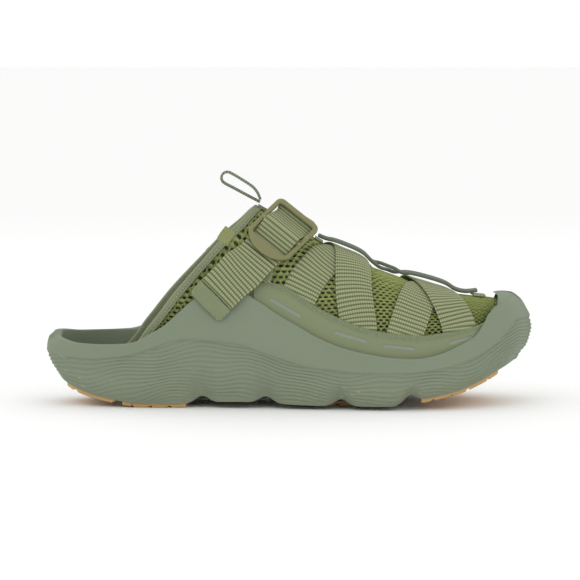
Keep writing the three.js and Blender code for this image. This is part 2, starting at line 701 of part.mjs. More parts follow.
// Puts a shape drawn in (v, w) and extruded along u into place.
function acrossBuckle(shape, width) {
  const geometry = new THREE.ExtrudeGeometry(shape, { depth: width, bevelEnabled: false, curveSegments: 8 });
  geometry.translate(0, 0, -width / 2);
  const { origin, u, v, w } = buckleFrame;
  geometry.applyMatrix4(new THREE.Matrix4().makeBasis(v, w, u).setPosition(origin));
  return solid(geometry);
}

// A closed band of even thickness along a line of [v, w] points.
function band(points, thick) {
  const normals = points.map((p, i) => {
    const a = points[Math.max(i - 1, 0)];
    const b = points[Math.min(i + 1, points.length - 1)];
    const length = Math.hypot(b[0] - a[0], b[1] - a[1]);
    return [-(b[1] - a[1]) / length, (b[0] - a[0]) / length];
  });
  const side = (sign) =>
    points.map((p, i) => new THREE.Vector2(
      p[0] + sign * normals[i][0] * thick / 2,
      p[1] + sign * normals[i][1] * thick / 2,
    ));
  return new THREE.Shape([...side(-1), ...side(1).toReversed()]);
}

const HALF_THICK = BUCKLE_THICK / 2;
const LOOP_INNER = BUCKLE_BAR_RADIUS + GAP;
const LOOP_OUTER = LOOP_INNER + ANCHOR_THICK;
const BIGHT_RADIUS = LOOP_OUTER + GAP + INSTEP_STRAP_THICK / 2;
const BIGHT_LOW = -(HALF_THICK + GAP + INSTEP_STRAP_THICK / 2); // where the strap passes under the bars
const BIGHT_LEAN = 0.55; // slope of the strap between a bar's underside and the centre bar
const ANCHOR_LOW = BIGHT_LOW - INSTEP_STRAP_THICK / 2 - GAP - ANCHOR_THICK / 2;
const BUCKLE_LIP = 4; // how far the grip stands past the lower bar

function buckle() {
  const halfWidth = INSTEP_STRAP_WIDTH / 2 + 0.6 + BUCKLE_RAIL;
  const [top, low] = [BUCKLE_TOP_BAR[0], BUCKLE_LOW_BAR[1]];
  const corner = 4;
  const outline = new THREE.Shape();
  outline.moveTo(-halfWidth + corner, top);
  outline.lineTo(halfWidth - corner, top);
  outline.quadraticCurveTo(halfWidth, top, halfWidth, top + corner);
  outline.lineTo(halfWidth, low - corner);
  outline.quadraticCurveTo(halfWidth * 0.7, low + BUCKLE_LIP, 0, low + BUCKLE_LIP);
  outline.quadraticCurveTo(-halfWidth * 0.7, low + BUCKLE_LIP, -halfWidth, low - corner);
  outline.lineTo(-halfWidth, top + corner);
  outline.quadraticCurveTo(-halfWidth, top, -halfWidth + corner, top);
  const inner = halfWidth - BUCKLE_RAIL;
  const window = new THREE.Path();
  window.moveTo(-inner, BUCKLE_TOP_BAR[1]);
  window.lineTo(inner, BUCKLE_TOP_BAR[1]);
  window.lineTo(inner, BUCKLE_LOW_BAR[0]);
  window.lineTo(-inner, BUCKLE_LOW_BAR[0]);
  outline.holes.push(window);
  const plate = new THREE.ExtrudeGeometry(outline, { depth: BUCKLE_THICK, bevelEnabled: false, curveSegments: 8 });
  plate.translate(0, 0, -HALF_THICK);
  const bar = new THREE.CylinderGeometry(BUCKLE_BAR_RADIUS, BUCKLE_BAR_RADIUS, inner * 2 + BUCKLE_RAIL, 16);
  bar.rotateZ(Math.PI / 2);
  const { origin, u, v, w } = buckleFrame;
  const turn = new THREE.Matrix4().makeBasis(u, v, w).setPosition(origin);
  return solid(plate.applyMatrix4(turn)).add(solid(bar.applyMatrix4(turn)));
}

// The strap's bight through the buckle: under the top bar, over the centre bar, under the lower bar.
function bight() {
  const points = [[BUCKLE_TOP_BAR[0], BIGHT_LOW]];
  const c = Math.cos(BIGHT_LEAN);
  const s = Math.sin(BIGHT_LEAN);
  const run = (BIGHT_RADIUS * c - BIGHT_LOW) / Math.tan(BIGHT_LEAN);
  points.push([-BIGHT_RADIUS * s - run, BIGHT_LOW]);
  for (let i = -2; i <= 2; i += 1) {
    const turn = (i / 2) * BIGHT_LEAN;
    points.push([BIGHT_RADIUS * Math.sin(turn), BIGHT_RADIUS * Math.cos(turn)]);
  }
  points.push([BIGHT_RADIUS * s + run, BIGHT_LOW], [BUCKLE_LOW_BAR[1] + BUCKLE_LIP, BIGHT_LOW]);
  return acrossBuckle(band(points, INSTEP_STRAP_THICK), INSTEP_STRAP_WIDTH);
}

const LIP_EDGE = BUCKLE_LOW_BAR[1] + BUCKLE_LIP;
const ANCHOR_END = LIP_EDGE + 1;
function anchorLoop() {
  const ring = new THREE.Shape().absarc(0, 0, LOOP_OUTER, 0, Math.PI * 2);
  ring.holes.push(new THREE.Path().absarc(0, 0, LOOP_INNER, 0, Math.PI * 2));
  const neck = band(
    [[0, -LOOP_INNER - ANCHOR_THICK / 2], [5, ANCHOR_LOW + 0.4], [10, ANCHOR_LOW], [ANCHOR_END, ANCHOR_LOW]],
    ANCHOR_THICK,
  );
  return acrossBuckle(ring, INSTEP_STRAP_WIDTH).add(acrossBuckle(neck, INSTEP_STRAP_WIDTH));
}

const BUCKLE_BLEND = 16; // length over which a strap turns from the buckle's plane to the upper

// A strap that leaves the buckle flat and then follows the upper at each node's offset.
function strapFromBuckle(start, nodes, width, thick, steps = 14) {
  const [v, w] = start;
  const first = local(0, v, w);
  const share = toShare(first.x);
  const s = section(share);
  const angle = Math.atan2(first.z - s.floor, first.y - s.centre);
  const reach = Math.hypot(first.y - s.centre, first.z - s.floor);
  let [near, far] = [0, 30];
  for (let i = 0; i < 20; i += 1) {
    const p = onUpper(share, angle, (near + far) / 2);
    if (Math.hypot(p.y - s.centre, p.z - s.floor) < reach) near = (near + far) / 2;
    else far = (near + far) / 2;
  }
  const lift = far;
  const path = upperPath([[share, angle, lift], ...nodes], steps);
  const points = path.map((n, i) => (i === 0 ? first : onUpper(n.x, n.y, n.z)));
  const flat = Math.sign(v);
  const rings = points.map((p, i) => {
    const weight = smooth(p.distanceTo(first) / BUCKLE_BLEND);
    const ahead = points[Math.min(i + 1, steps)];
    const behind = points[Math.max(i - 1, 0)];
    const along = ahead.clone().sub(behind).normalize();
    const normal = outward(path[i].x, path[i].y).lerp(buckleFrame.w, 1 - weight).normalize();
    const side = normal.clone().cross(along).normalize();
    const exact = buckleFrame.u.clone().multiplyScalar(-flat);
    side.lerp(exact, 1 - weight).normalize();
    const under = [];
    const over = [];
    for (let k = 0; k <= 4; k += 1) {
      const base = p.clone().addScaledVector(side, (k / 4 - 0.5) * width);
      const top = base.clone().addScaledVector(normal, thick);
      under.push(base.clone().lerp(drape(base, path[i].z), weight));
      over.push(top.lerp(drape(base, path[i].z + thick), weight));
    }
    return [...under, ...over.toReversed()];
  });
  return solid(loft(rings));
}

const TAIL_CLEAR = FOAM_SEAT + FOAM_RIM_WALL + 0.8; // the tail hangs outside the foam's rim
const STRAP_LEVEL = BIGHT_LOW - INSTEP_STRAP_THICK / 2;
const TIP_FROM = 0.352;
const TIP_TO = 0.328;
const TAIL_TIP_HEIGHT = 53;
const TAIL_CLIMB = 255; // of the tail, for the whole length of the sole

const onTail = (share, offset = TAIL_CLEAR + 0.4) =>
  node(share, LATERAL, TAIL_TIP_HEIGHT + (share - TIP_TO) * TAIL_CLIMB, offset);
place("buckle", MOULDED, buckle());
place("strap_bight", WEBBING, bight());
place("anchor_loop", WEBBING, anchorLoop());
place(
  "instep_strap",
  WEBBING,
  strapFromBuckle(
    [BUCKLE_TOP_BAR[0] - GAP, STRAP_LEVEL],
    [node(0.5, MEDIAL, 98, 3), node(0.477, MEDIAL, 88, 1), node(0.44, MEDIAL, 74, STRAP_SEAT),
      node(0.405, MEDIAL, 60, STRAP_SEAT)],
    INSTEP_STRAP_WIDTH,
    INSTEP_STRAP_THICK,
    20,
  ),
);
place(
  "strap_tail",
  WEBBING,
  strapFromBuckle(
    [LIP_EDGE + GAP, STRAP_LEVEL],
    [onTail(0.41, 6.4), onTail(0.392, 8), onTail(0.375, TAIL_CLEAR), onTail(TIP_FROM)],
    INSTEP_STRAP_WIDTH,
    INSTEP_STRAP_THICK,
  ),
);
place(
  "strap_tip",
  FILM,
  solid(
    drapedStrap(
      [onTail(TIP_FROM - 2.4 * GAP / SOLE_LENGTH), onTail((TIP_FROM + TIP_TO) / 2), onTail(TIP_TO)],
      INSTEP_STRAP_WIDTH,
      0,
      INSTEP_STRAP_THICK,
      5,
    ),
  ),
);
place(
  "anchor_webbing",
  WEBBING,
  strapFromBuckle(
    [ANCHOR_END + GAP, ANCHOR_LOW - ANCHOR_THICK / 2],
    [node(0.428, LATERAL, 82, 1.2), node(0.412, LATERAL, 75, STRAP_SEAT), node(0.38, LATERAL, 58, STRAP_SEAT)],
    INSTEP_STRAP_WIDTH,
    ANCHOR_THICK,
  ),
);
const LABEL_SEAT = BINDING_PROUD + GAP; // it lies on the collar's binding
place(
  "label_tab",
  LABEL_MATERIAL,
  solid(drapedStrap([node(0.361, LATERAL, 105), node(0.383, LATERAL, 100.3)], 9.6, LABEL_SEAT, 1, 4)),
);

// ---------------------------------------------------------------- pull loop

const LOOP_FOOT = 0.4335; // where it leaves the collar's top edge, on the ridge of the instep
const LOOP_OPEN = 5.8; // inside the loop
const LOOP_CLEAR = BINDING_PROUD + LOOP_TAPE_THICK + 2 * GAP; // over the collar's binding and the base
const LOOP_ROOT = 2; // length of the solid root, where both ends of the tape are sewn together

function pullLoop() {
  const outer = LOOP_OPEN / 2 + LOOP_TAPE_THICK;
  const middle = LOOP_CLEAR + outer;
  const end = LOOP_LENGTH - outer;
  const shape = new THREE.Shape();
  shape.moveTo(0, LOOP_CLEAR);
  shape.lineTo(end, LOOP_CLEAR);
  shape.absarc(end, middle, outer, -Math.PI / 2, Math.PI / 2);
  shape.lineTo(9, middle + outer - 0.4);
  shape.quadraticCurveTo(4, middle + outer - 1, 0, LOOP_CLEAR + 2.6 * LOOP_TAPE_THICK);
  const hole = new THREE.Path();
  hole.moveTo(LOOP_ROOT + 2, LOOP_CLEAR + LOOP_TAPE_THICK);
  hole.lineTo(end, LOOP_CLEAR + LOOP_TAPE_THICK);
  hole.absarc(end, middle, outer - LOOP_TAPE_THICK, -Math.PI / 2, Math.PI / 2);
  hole.lineTo(9, middle + outer - LOOP_TAPE_THICK - 0.4);
  shape.holes.push(hole);
  const geometry = new THREE.ExtrudeGeometry(shape, {
    depth: LOOP_TAPE_WIDTH,
    bevelEnabled: false,
    curveSegments: 10,
  });
  geometry.translate(0, 0, -LOOP_TAPE_WIDTH / 2);
  const foot = onUpper(LOOP_FOOT, RIDGE);
  const back = foot.clone().sub(onUpper(LOOP_FOOT + 0.04, RIDGE)).normalize();
  const across = new THREE.Vector3(0, 1, 0);
  const up = across.clone().cross(back).normalize();
  geometry.applyMatrix4(new THREE.Matrix4().makeBasis(back, up, across.negate()).setPosition(foot));
  return solid(geometry);
}
place("pull_loop", LOOP_MATERIAL, pullLoop());
place(
  "loop_base",
  LOOP_MATERIAL,
  solid(drapedStrap(
    [ridge(LOOP_FOOT + 2 * GAP / SOLE_LENGTH), ridge(0.458)],
    LOOP_TAPE_WIDTH,
    BINDING_PROUD + GAP,
    LOOP_TAPE_THICK,
    4,
  )),
);

// ---------------------------------------------------------------- elastic lace

const LACE_RADIUS = LACE_DIAMETER / 2;
const LACE_LOW = STRAP_SEAT + STRAP_THICK + LACE_RADIUS + GAP; // its centre over one layer of webbing
const LACE_HIGH = LACE_LOW + STRAP_STEP + 1.1; // over two layers
const LACE_REST = LACE_RADIUS + STRAP_SEAT;
const LACE_SPREAD = 5; // half the distance between the two strands over a strap

// Share of the length, distance from the ridge, and the height of the strand's centre over the mesh.
const lacePath = (crossing) => [
  [0.559, 3, LACE_LOW + 0.3], [0.574, 4, LACE_LOW + 1.2], [0.594, LACE_SPREAD, LACE_HIGH],
  [0.648, LACE_SPREAD, LACE_HIGH], [0.67, 4, LACE_LOW + 0.5], [0.685, 2.2, crossing], [0.7, 0, crossing],
  [0.715, -2.2, crossing], [0.73, -4, LACE_LOW + 0.6], [0.75, -LACE_SPREAD, LACE_HIGH],
  [0.818, -LACE_SPREAD, LACE_HIGH], [0.84, -4.5, LACE_LOW], [0.86, -3.5, LACE_REST + 0.8],
  [0.885, -3, LACE_LOW + 0.6],
];

function laceStrand(side, crossing) {
  const points = lacePath(crossing).map(([share, shift, offset]) =>
    onUpper(share, RIDGE - (side * shift) / section(share).rise, offset),
  );
  const profile = new THREE.Shape().absarc(0, 0, LACE_RADIUS, 0, Math.PI * 2);
  return solid(
    new THREE.ExtrudeGeometry(profile, {
      steps: 44,
      curveSegments: 4,
      bevelEnabled: false,
      extrudePath: new THREE.CatmullRomCurve3(points, false, "centripetal"),
    }),
  );
}
place("lace_strand_lower", LACE, laceStrand(LATERAL, LACE_REST + 0.2));
place("lace_strand_upper", LACE, laceStrand(MEDIAL, LACE_REST + 0.2 + LACE_DIAMETER + GAP));
place("lace_anchor_rear", WEBBING, solid(drapedStrap([ridge(0.552), ridge(0.568)], 12, STRAP_SEAT, STRAP_THICK, 3)));
place("lace_anchor_toe", WEBBING, solid(drapedStrap([ridge(0.875), ridge(0.9)], 14, STRAP_SEAT, STRAP_THICK, 4)));

// The origin goes under the middle of the whole sandal.
const centre = new THREE.Box3().setFromObject(sandal).getCenter(new THREE.Vector3());
sandal.position.set(-centre.x, -centre.y, 0);

export default sandal;
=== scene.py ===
"""A strappy sport sandal: a carved foam cup sole, gum treads, a net upper, ribbed webbing, a moulded
buckle and an elastic lace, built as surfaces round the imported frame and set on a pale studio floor.

Shapes are worked out in millimetres in the sandal's own frame (+X to the toe, +Y to the inner side, +Z up).
"Share" values run from 0 at the heel's back to 1 at the toe's tip. Angles round the foot run from 0 on the
medial side, over the ridge of the instep at a quarter turn, to half a turn on the lateral side.
"""

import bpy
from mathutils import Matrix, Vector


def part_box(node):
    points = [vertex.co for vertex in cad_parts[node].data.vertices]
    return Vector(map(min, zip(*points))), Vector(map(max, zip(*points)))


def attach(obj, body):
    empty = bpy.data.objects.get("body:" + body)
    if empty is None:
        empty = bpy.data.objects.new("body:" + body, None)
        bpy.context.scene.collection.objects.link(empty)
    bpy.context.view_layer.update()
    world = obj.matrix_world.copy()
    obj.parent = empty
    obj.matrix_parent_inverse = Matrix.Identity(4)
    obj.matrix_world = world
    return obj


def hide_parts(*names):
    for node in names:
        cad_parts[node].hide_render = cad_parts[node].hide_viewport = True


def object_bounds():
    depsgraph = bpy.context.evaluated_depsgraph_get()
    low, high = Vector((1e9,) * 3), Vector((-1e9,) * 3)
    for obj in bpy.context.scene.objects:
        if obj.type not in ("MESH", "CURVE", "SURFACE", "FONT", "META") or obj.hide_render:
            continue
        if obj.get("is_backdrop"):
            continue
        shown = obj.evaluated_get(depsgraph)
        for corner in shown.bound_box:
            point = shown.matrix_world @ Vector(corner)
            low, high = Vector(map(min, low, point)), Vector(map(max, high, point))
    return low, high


bl_info = {
    "name": "Strappy sport sandal",
    "version": (1, 0, 0),
    "blender": (4, 5, 0),
    "location": "3D View > Sidebar > Sandal",
    "description": "Builds a strappy sport sandal and its studio from a packed frame",
    "category": "Add Mesh",
}

import math

import bmesh
import bpy
import numpy as np
from bpy.props import FloatProperty, FloatVectorProperty, PointerProperty
from mathutils import Vector

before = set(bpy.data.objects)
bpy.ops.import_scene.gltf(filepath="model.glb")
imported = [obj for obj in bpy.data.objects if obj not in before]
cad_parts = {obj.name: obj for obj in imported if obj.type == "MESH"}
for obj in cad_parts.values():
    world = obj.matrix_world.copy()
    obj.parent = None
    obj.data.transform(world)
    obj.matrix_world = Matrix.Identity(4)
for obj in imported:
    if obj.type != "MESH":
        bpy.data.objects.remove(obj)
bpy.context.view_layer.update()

# ---------------------------------------------------------------- sizes shared with the frame, in millimetres

SOLE_LENGTH = 299.6
GAP = 0.3
MESH_THICK = 2.0
LINING_THICK = 1.4
STRAP_WIDTH = 22
STRAP_THICK = 1.2
STRAP_SEAT = 0.6
FILM_THICK = 0.7
FOAM_RIM_WALL = 4.2
TREAD_PROUD = 2.4
NOTCH_DEPTH = 4.0
BOARD_THICK = 1.8
FOOTBED_THICK = 5.5
TOPCLOTH_THICK = 1.2
INSTEP_STRAP_WIDTH = 25
MEAN_RADIUS = 45
INSTEP_STRAP_THICK = 1.2
ANCHOR_THICK = 1.0
LACE_RADIUS = 1.1
LOOP_TAPE_WIDTH = 8
LOOP_TAPE_THICK = 1.5
LOOP_LENGTH = 29
LOOP_OPEN = 5.8
LOOP_FOOT = 0.4335
BUCKLE_THICK = 3
BUCKLE_RAIL = 3
BUCKLE_BAR_RADIUS = 1.7
BUCKLE_TOP_BAR = (-18, -14.5)
BUCKLE_LOW_BAR = (12.4, 16)
BUCKLE_LIP = 4
BUCKLE_SEAT = 4.8 + INSTEP_STRAP_WIDTH ** 2 / 8 / MEAN_RADIUS
FILM_SEAT = STRAP_SEAT + STRAP_THICK + GAP
FOAM_SEAT = FILM_SEAT + FILM_THICK + 2 * GAP
LINING_SEAT = -(MESH_THICK + GAP)
INSIDE_SEAT = LINING_SEAT - LINING_THICK - GAP
LATERAL, MEDIAL = -1, 1
RIDGE = math.pi / 2


# ---------------------------------------------------------------- curves

def curve(points):
    """A smooth curve through (place, value) points that never overshoots them: one cubic between each two,
    whose slope at a point is the harmonic mean of the slopes of the chords beside it."""
    x, y = np.array(points, float).T
    chord = np.diff(y) / np.diff(x)
    slope = np.empty_like(x)
    slope[0], slope[-1] = chord[0], chord[-1]
    product = chord[:-1] * chord[1:]
    total = np.where(product > 0, chord[:-1] + chord[1:], 1)
    slope[1:-1] = np.where(product > 0, 2 * product / total, 0)

    def at(place):
        """The curve's value at a place, or at each of an array of places."""
        v = np.clip(np.asarray(place, float), x[0], x[-1])
        i = np.clip(np.searchsorted(x, v, side="right") - 1, 0, len(x) - 2)
        h = x[i + 1] - x[i]
        t = (v - x[i]) / h
        rise = y[i] * (1 + 2 * t) * (1 - t) ** 2 + y[i + 1] * t * t * (3 - 2 * t)
        return rise + h * t * (1 - t) * (slope[i] * (1 - t) - slope[i + 1] * t)

    return at


def smooth(t):
    """Rises from 0 to 1 with level ends: 3tt - 2ttt."""
    c = np.clip(t, 0, 1)
    return c * c * (3 - 2 * c)


def to_x(share):
    """The place along the sole, from its middle, of a share of its length."""
    return (np.asarray(share, float) - 0.5) * SOLE_LENGTH


def to_share(x):
    """The share of the sole's length at a place along it."""
    return np.asarray(x, float) / SOLE_LENGTH + 0.5


def unit(v):
    """Vectors divided by their length."""
    return v / np.maximum(np.linalg.norm(v, axis=-1, keepdims=True), 1e-9)


def hermite(t, a, b, leaving, arriving):
    """The cubic from a to b with a slope at each end: each value and slope times its Hermite polynomial."""
    return (a * (1 + 2 * t) * (1 - t) ** 2 + b * t * t * (3 - 2 * t)
            + leaving * t * (1 - t) ** 2 + arriving * t * t * (t - 1))


def closed_loop(points, at):
    """Uniform Catmull-Rom curve round a closed ring of points, at values from 0 to 1."""
    p = np.array(points, float)
    n = len(p)
    s = (np.asarray(at) % 1) * n
    i = np.floor(s).astype(int) % n
    t = (s - np.floor(s))[..., None]
    a, b, c, d = p[i - 1], p[i], p[(i + 1) % n], p[(i + 2) % n]
    return hermite(t, b, c, (c - a) / 2, (d - b) / 2)


def smooth_line(points, steps):
    """Evenly spread points on a centripetal Catmull-Rom curve through the given ones."""
    p = np.array(points, float)
    p = np.vstack([2 * p[0] - p[1], p, 2 * p[-1] - p[-2]])
    gap = np.linalg.norm(np.diff(p, axis=0), axis=1) ** 0.5
    t = np.linspace(0, 1, 60)[:, None]
    runs = []
    for i in range(1, len(p) - 2):
        g0, g1, g2 = gap[i - 1], gap[i], gap[i + 1]
        a, b, c, d = p[i - 1], p[i], p[i + 1], p[i + 2]
        ta = ((b - a) / g0 - (c - a) / (g0 + g1) + (c - b) / g1) * g1
        tb = ((c - b) / g1 - (d - b) / (g1 + g2) + (d - c) / g2) * g1
        runs.append(hermite(t, b, c, ta, tb))
    return resampled(np.vstack(runs), steps + 1)


def resampled(line, count):
    """The same line with its points spread evenly along its length."""
    length = run_of(line)
    places = np.linspace(0, length[-1], count)
    return np.stack([np.interp(places, length, line[:, k]) for k in range(line.shape[1])], axis=1)


def run_of(line):
    """The distance along a line at each of its points."""
    step = np.linalg.norm(np.diff(line, axis=0), axis=1)
    return np.concatenate([[0], np.cumsum(step)])


# ---------------------------------------------------------------- the sandal's shape

rocker = curve([
    (0.024, 14.6), (0.053, 9.9), (0.077, 7.1), (0.1, 5), (0.13, 3.1), (0.16, 1.3), (0.19, 0), (0.28, 0),
    (0.33, 1), (0.39, 1.7), (0.46, 0.9), (0.54, 0.2), (0.58, 0), (0.7, 0), (0.76, 3.8), (0.807, 6.6),
    (0.837, 8.6), (0.869, 11.8), (0.9, 15.5), (0.931, 19.8), (0.955, 22.2), (1, 27),
])
lateral_rim = curve([
    (0, 41.5), (0.05, 39), (0.1, 38.7), (0.155, 39.2), (0.183, 40.8), (0.21, 45), (0.242, 50.5),
    (0.271, 58), (0.3, 65.6), (0.35, 74), (0.4, 70.5), (0.44, 63.9), (0.48, 56.2), (0.52, 49.6),
    (0.551, 44.4), (0.598, 38.6), (0.646, 34.9), (0.709, 32), (0.756, 31.4), (0.803, 33.2), (0.848, 37.5),
    (0.879, 41.1), (0.91, 47), (0.94, 54), (1, 60),
])
bumper_crown = curve([(0.88, 50), (0.905, 60), (0.925, 66), (0.94, 68.6), (0.97, 68)])
heel_inset = curve([(0, 8.5), (0.18, 5.5), (0.4, 2), (0.63, 0), (0.88, 1.2), (1, 4.5)])
toe_inset = curve([
    (0, 11), (0.13, 7.5), (0.2, 4.5), (0.32, 2), (0.5, 0), (0.62, 0.7), (0.8, 4.2), (0.93, 8), (1, 12),
])
side_inset = curve([(0, 4.5), (0.12, 1.8), (0.3, 0), (0.5, 0.8)])
LATERAL_OUTLINE = [
    (0.006, 9.5), (0.022, 18), (0.06, 28), (0.12, 35.5), (0.2, 38.6), (0.32, 40.5), (0.44, 44.5),
    (0.56, 50.5), (0.67, 54.4), (0.76, 54.2), (0.85, 47), (0.915, 34.5), (0.965, 17.5), (0.993, -1),
]
MEDIAL_OUTLINE = [
    (0.006, 9.5), (0.022, 18), (0.06, 28), (0.12, 35.2), (0.2, 38), (0.32, 38.5), (0.44, 40.5),
    (0.56, 46.5), (0.67, 52.5), (0.76, 54.5), (0.85, 52), (0.92, 43.5), (0.968, 29), (0.993, 16),
]
OUTLINE = [(float(to_x(s)), y) for s, y in
           [(0, 0)] + [(s, -y) for s, y in LATERAL_OUTLINE] + [(1, 7)] + MEDIAL_OUTLINE[::-1]]
centre_line = curve([(0.03, 0), (0.5, 0), (0.75, 1.5), (0.9, 5), (0.97, 8)])
lateral_half = curve([
    (0.03, 27), (0.1, 29.5), (0.18, 30.5), (0.3, 32), (0.42, 35), (0.55, 41), (0.66, 46), (0.75, 46.5),
    (0.84, 43), (0.91, 36), (0.97, 27),
])
medial_half = curve([
    (0.03, 27), (0.1, 29.5), (0.18, 30), (0.3, 30.5), (0.42, 33), (0.55, 38.5), (0.66, 43.5),
    (0.75, 44.5), (0.84, 41), (0.91, 34.5), (0.97, 26),
])
floor_line = curve([
    (0.03, 24), (0.2, 21), (0.4, 20), (0.6, 17), (0.7, 17.5), (0.8, 21), (0.9, 29), (0.97, 37),
])
ridge_line = curve([
    (0, 200), (0.2, 190), (0.3, 175), (0.35, 156), (0.37, 143), (0.4, 128), (0.433, 120.5), (0.47, 114.5),
    (0.5, 110.5), (0.54, 103.5), (0.567, 98), (0.6, 93), (0.64, 88), (0.67, 83), (0.694, 80.3),
    (0.724, 77), (0.75, 73.5), (0.777, 71), (0.807, 68.3), (0.837, 66.6), (0.874, 65.2), (0.91, 64.2),
    (0.934, 62.8), (0.97, 61),
])
squareness = curve([(0.2, 2.5), (0.35, 2.2), (0.45, 2), (0.55, 2.05), (0.65, 2.3), (0.8, 2.4)])
LAST_HEEL, LAST_TOE = 0.042, 0.966
HEEL_ROUND, TOE_ROUND, TOE_DROP = 0.11, 0.12, 0.045
NOTCHES = (0.32, 0.448, 0.6, 0.743)
NOTCH_SPREAD, DENT_SPREAD, DENT_DEPTH, DENT_TOP = 0.018, 0.026, 3.6, 0.55
COLLAR_TOP = 0.4325
COLLAR = [
    (0.135, 22), (0.163, 30), (0.195, 41), (0.21, 47.9), (0.222, 52.1), (0.242, 60.1), (0.269, 71.1),
    (0.294, 79.6), (0.324, 89.9), (0.365, 102.4), (0.403, 113.4), (0.433, 122.5), (0.45, 150),
]
MEDIAL_COLLAR_BACK = 3.5
SEAM = 0.535


def medial_rim(share):
    """Height of the foam's rim on the medial side: the lateral rim, a little higher at the heel."""
    return lateral_rim(share) + 3.2 * (1 - smooth((np.asarray(share) - 0.25) / 0.2))


def foam_bottom(share):
    """Height of the foam's underside: the rocker line raised by the treads' thickness."""
    return rocker(share) + TREAD_PROUD


def bumps(share, spread):
    """1 at each notch of the sole and falling off as a bell curve beside it."""
    return sum(np.exp(-(((share - at) / spread) ** 2)) for at in NOTCHES)


def quarter_round(distance, radius):
    """Rises as a quarter circle from 0 at no distance to 1 at the radius."""
    t = np.clip(np.asarray(distance) / radius, 0, 1)
    return np.sqrt(np.maximum(0, 1 - (1 - t) ** 2))


def section(share, offset=0.0):
    """Centre, floor, lateral and medial half widths, rise and squareness of the cross-section."""
    edge = offset / SOLE_LENGTH
    round_ = (quarter_round(share - (LAST_HEEL - edge), HEEL_ROUND)
              * quarter_round(LAST_TOE + edge - share, TOE_ROUND))
    floor = floor_line(share)
    rise = (ridge_line(share) - floor) * quarter_round(LAST_TOE + edge - share, TOE_DROP)
    return (centre_line(share), floor, (lateral_half(share) + offset) * round_,
            (medial_half(share) + offset) * round_, np.maximum(rise + offset, 1), squareness(share))


def on_upper(share, angle, offset=0.0):
    """A point of the upper: half a superellipse, radius = (across^p + up^p)^(-1/p), on the footboard."""
    share, angle, offset = np.broadcast_arrays(np.asarray(share, float), angle, offset)
    centre, floor, lateral, medial, rise, power = section(share, offset)
    half = np.where(np.cos(angle) < 0, lateral, medial)
    across = np.abs(np.cos(angle)) / np.maximum(half, 0.01)
    up = np.maximum(0, np.sin(angle)) / rise
    radius = (across ** power + up ** power) ** (-1 / power)
    return np.stack([to_x(share), centre + radius * np.cos(angle), floor + radius * np.sin(angle)], -1)


def beside_upper(share, side, height, offset):
    """The point of the upper's surface on one side at a height."""
    centre, floor, lateral, medial, rise, power = section(share, offset)
    up = np.clip((height - floor) / rise, 0, 1)
    half = np.where(np.asarray(side) == LATERAL, lateral, medial)
    across = half * (1 - up ** power) ** (1 / power)
    return np.stack(np.broadcast_arrays(to_x(share), centre + side * across, height), -1)


def angle_at(share, side, height):
    """The angle round the foot of a height on one side."""
    _, floor, lateral, medial, rise, power = section(share)
    up = np.clip((height - floor) / rise, 0, 1)
    half = np.where(np.asarray(side) == LATERAL, lateral, medial)
    return np.arctan2(height - floor, side * half * (1 - up ** power) ** (1 / power))


def outward(share, angle, step=0.002):
    """The upper's unit normal: the cross product of a step round the foot and a step along it."""
    along = on_upper(share + step, angle) - on_upper(share - step, angle)
    round_ = on_upper(share, angle + step) - on_upper(share, angle - step)
    return unit(np.cross(round_, along))


def drape(point, offset):
    """The point of the upper's surface, at an offset, that lies under a given point."""
    share = to_share(point[..., 0])
    centre, floor = section(share)[:2]
    return on_upper(share, np.arctan2(point[..., 2] - floor, point[..., 1] - centre), offset)


def node(share, side, height, lift=0.0):
    """A route's point on the upper, given by its height on one side."""
    return (share, float(angle_at(share, side, height)), lift)


def ridge(share, lift=0.0):
    """A route's point on the ridge of the instep."""
    return (share, RIDGE, lift)


def upper_path(nodes, steps):
    """Evenly spread (share, angle, lift) points on a smooth curve through nodes on the upper."""
    flat = np.array(nodes, float) * (SOLE_LENGTH, MEAN_RADIUS, 1)
    return smooth_line(flat, steps) / (SOLE_LENGTH, MEAN_RADIUS, 1)


def collar_angles(side, shift=0.0):
    """Shares and angles along the collar's edge on one side, from the footboard up to the ridge."""
    shares, heights = np.array(COLLAR[:-1]).T
    line = smooth_line(np.stack([to_x(shares), heights], 1), 240)
    if side == MEDIAL:
        line[:, 0] -= MEDIAL_COLLAR_BACK * np.clip((105 - line[:, 1]) / 45, 0, 1)
    line[:, 0] += shift
    share = to_share(line[:, 0])
    angle = angle_at(share, side, line[:, 1])
    top = np.abs(angle - RIDGE) > 0.02
    return np.append(share[top], COLLAR_TOP + shift / SOLE_LENGTH), np.append(angle[top], RIDGE)


def collar_share(angle, shift=0.0):
    """The share of the length at which the collar's edge crosses an angle round the foot."""
    share_m, angle_m = collar_angles(MEDIAL, shift)
    share_l, angle_l = collar_angles(LATERAL, shift)
    order_m, order_l = np.argsort(angle_m), np.argsort(angle_l)
    angles = np.concatenate([angle_m[order_m], angle_l[order_l][1:]])
    shares = np.concatenate([share_m[order_m], share_l[order_l][1:]])
    return np.interp(angle, angles, shares)


# ---------------------------------------------------------------- meshes

# Where the sole's middle lies in the frame, found from one tread's box.
TREAD_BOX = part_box("ball_tread")
SHIFT = np.array([
    TREAD_BOX[0].x * 1000 - float(to_x(0.575)),
    (TREAD_BOX[0].y + TREAD_BOX[1].y) * 500,
    0.0,
])


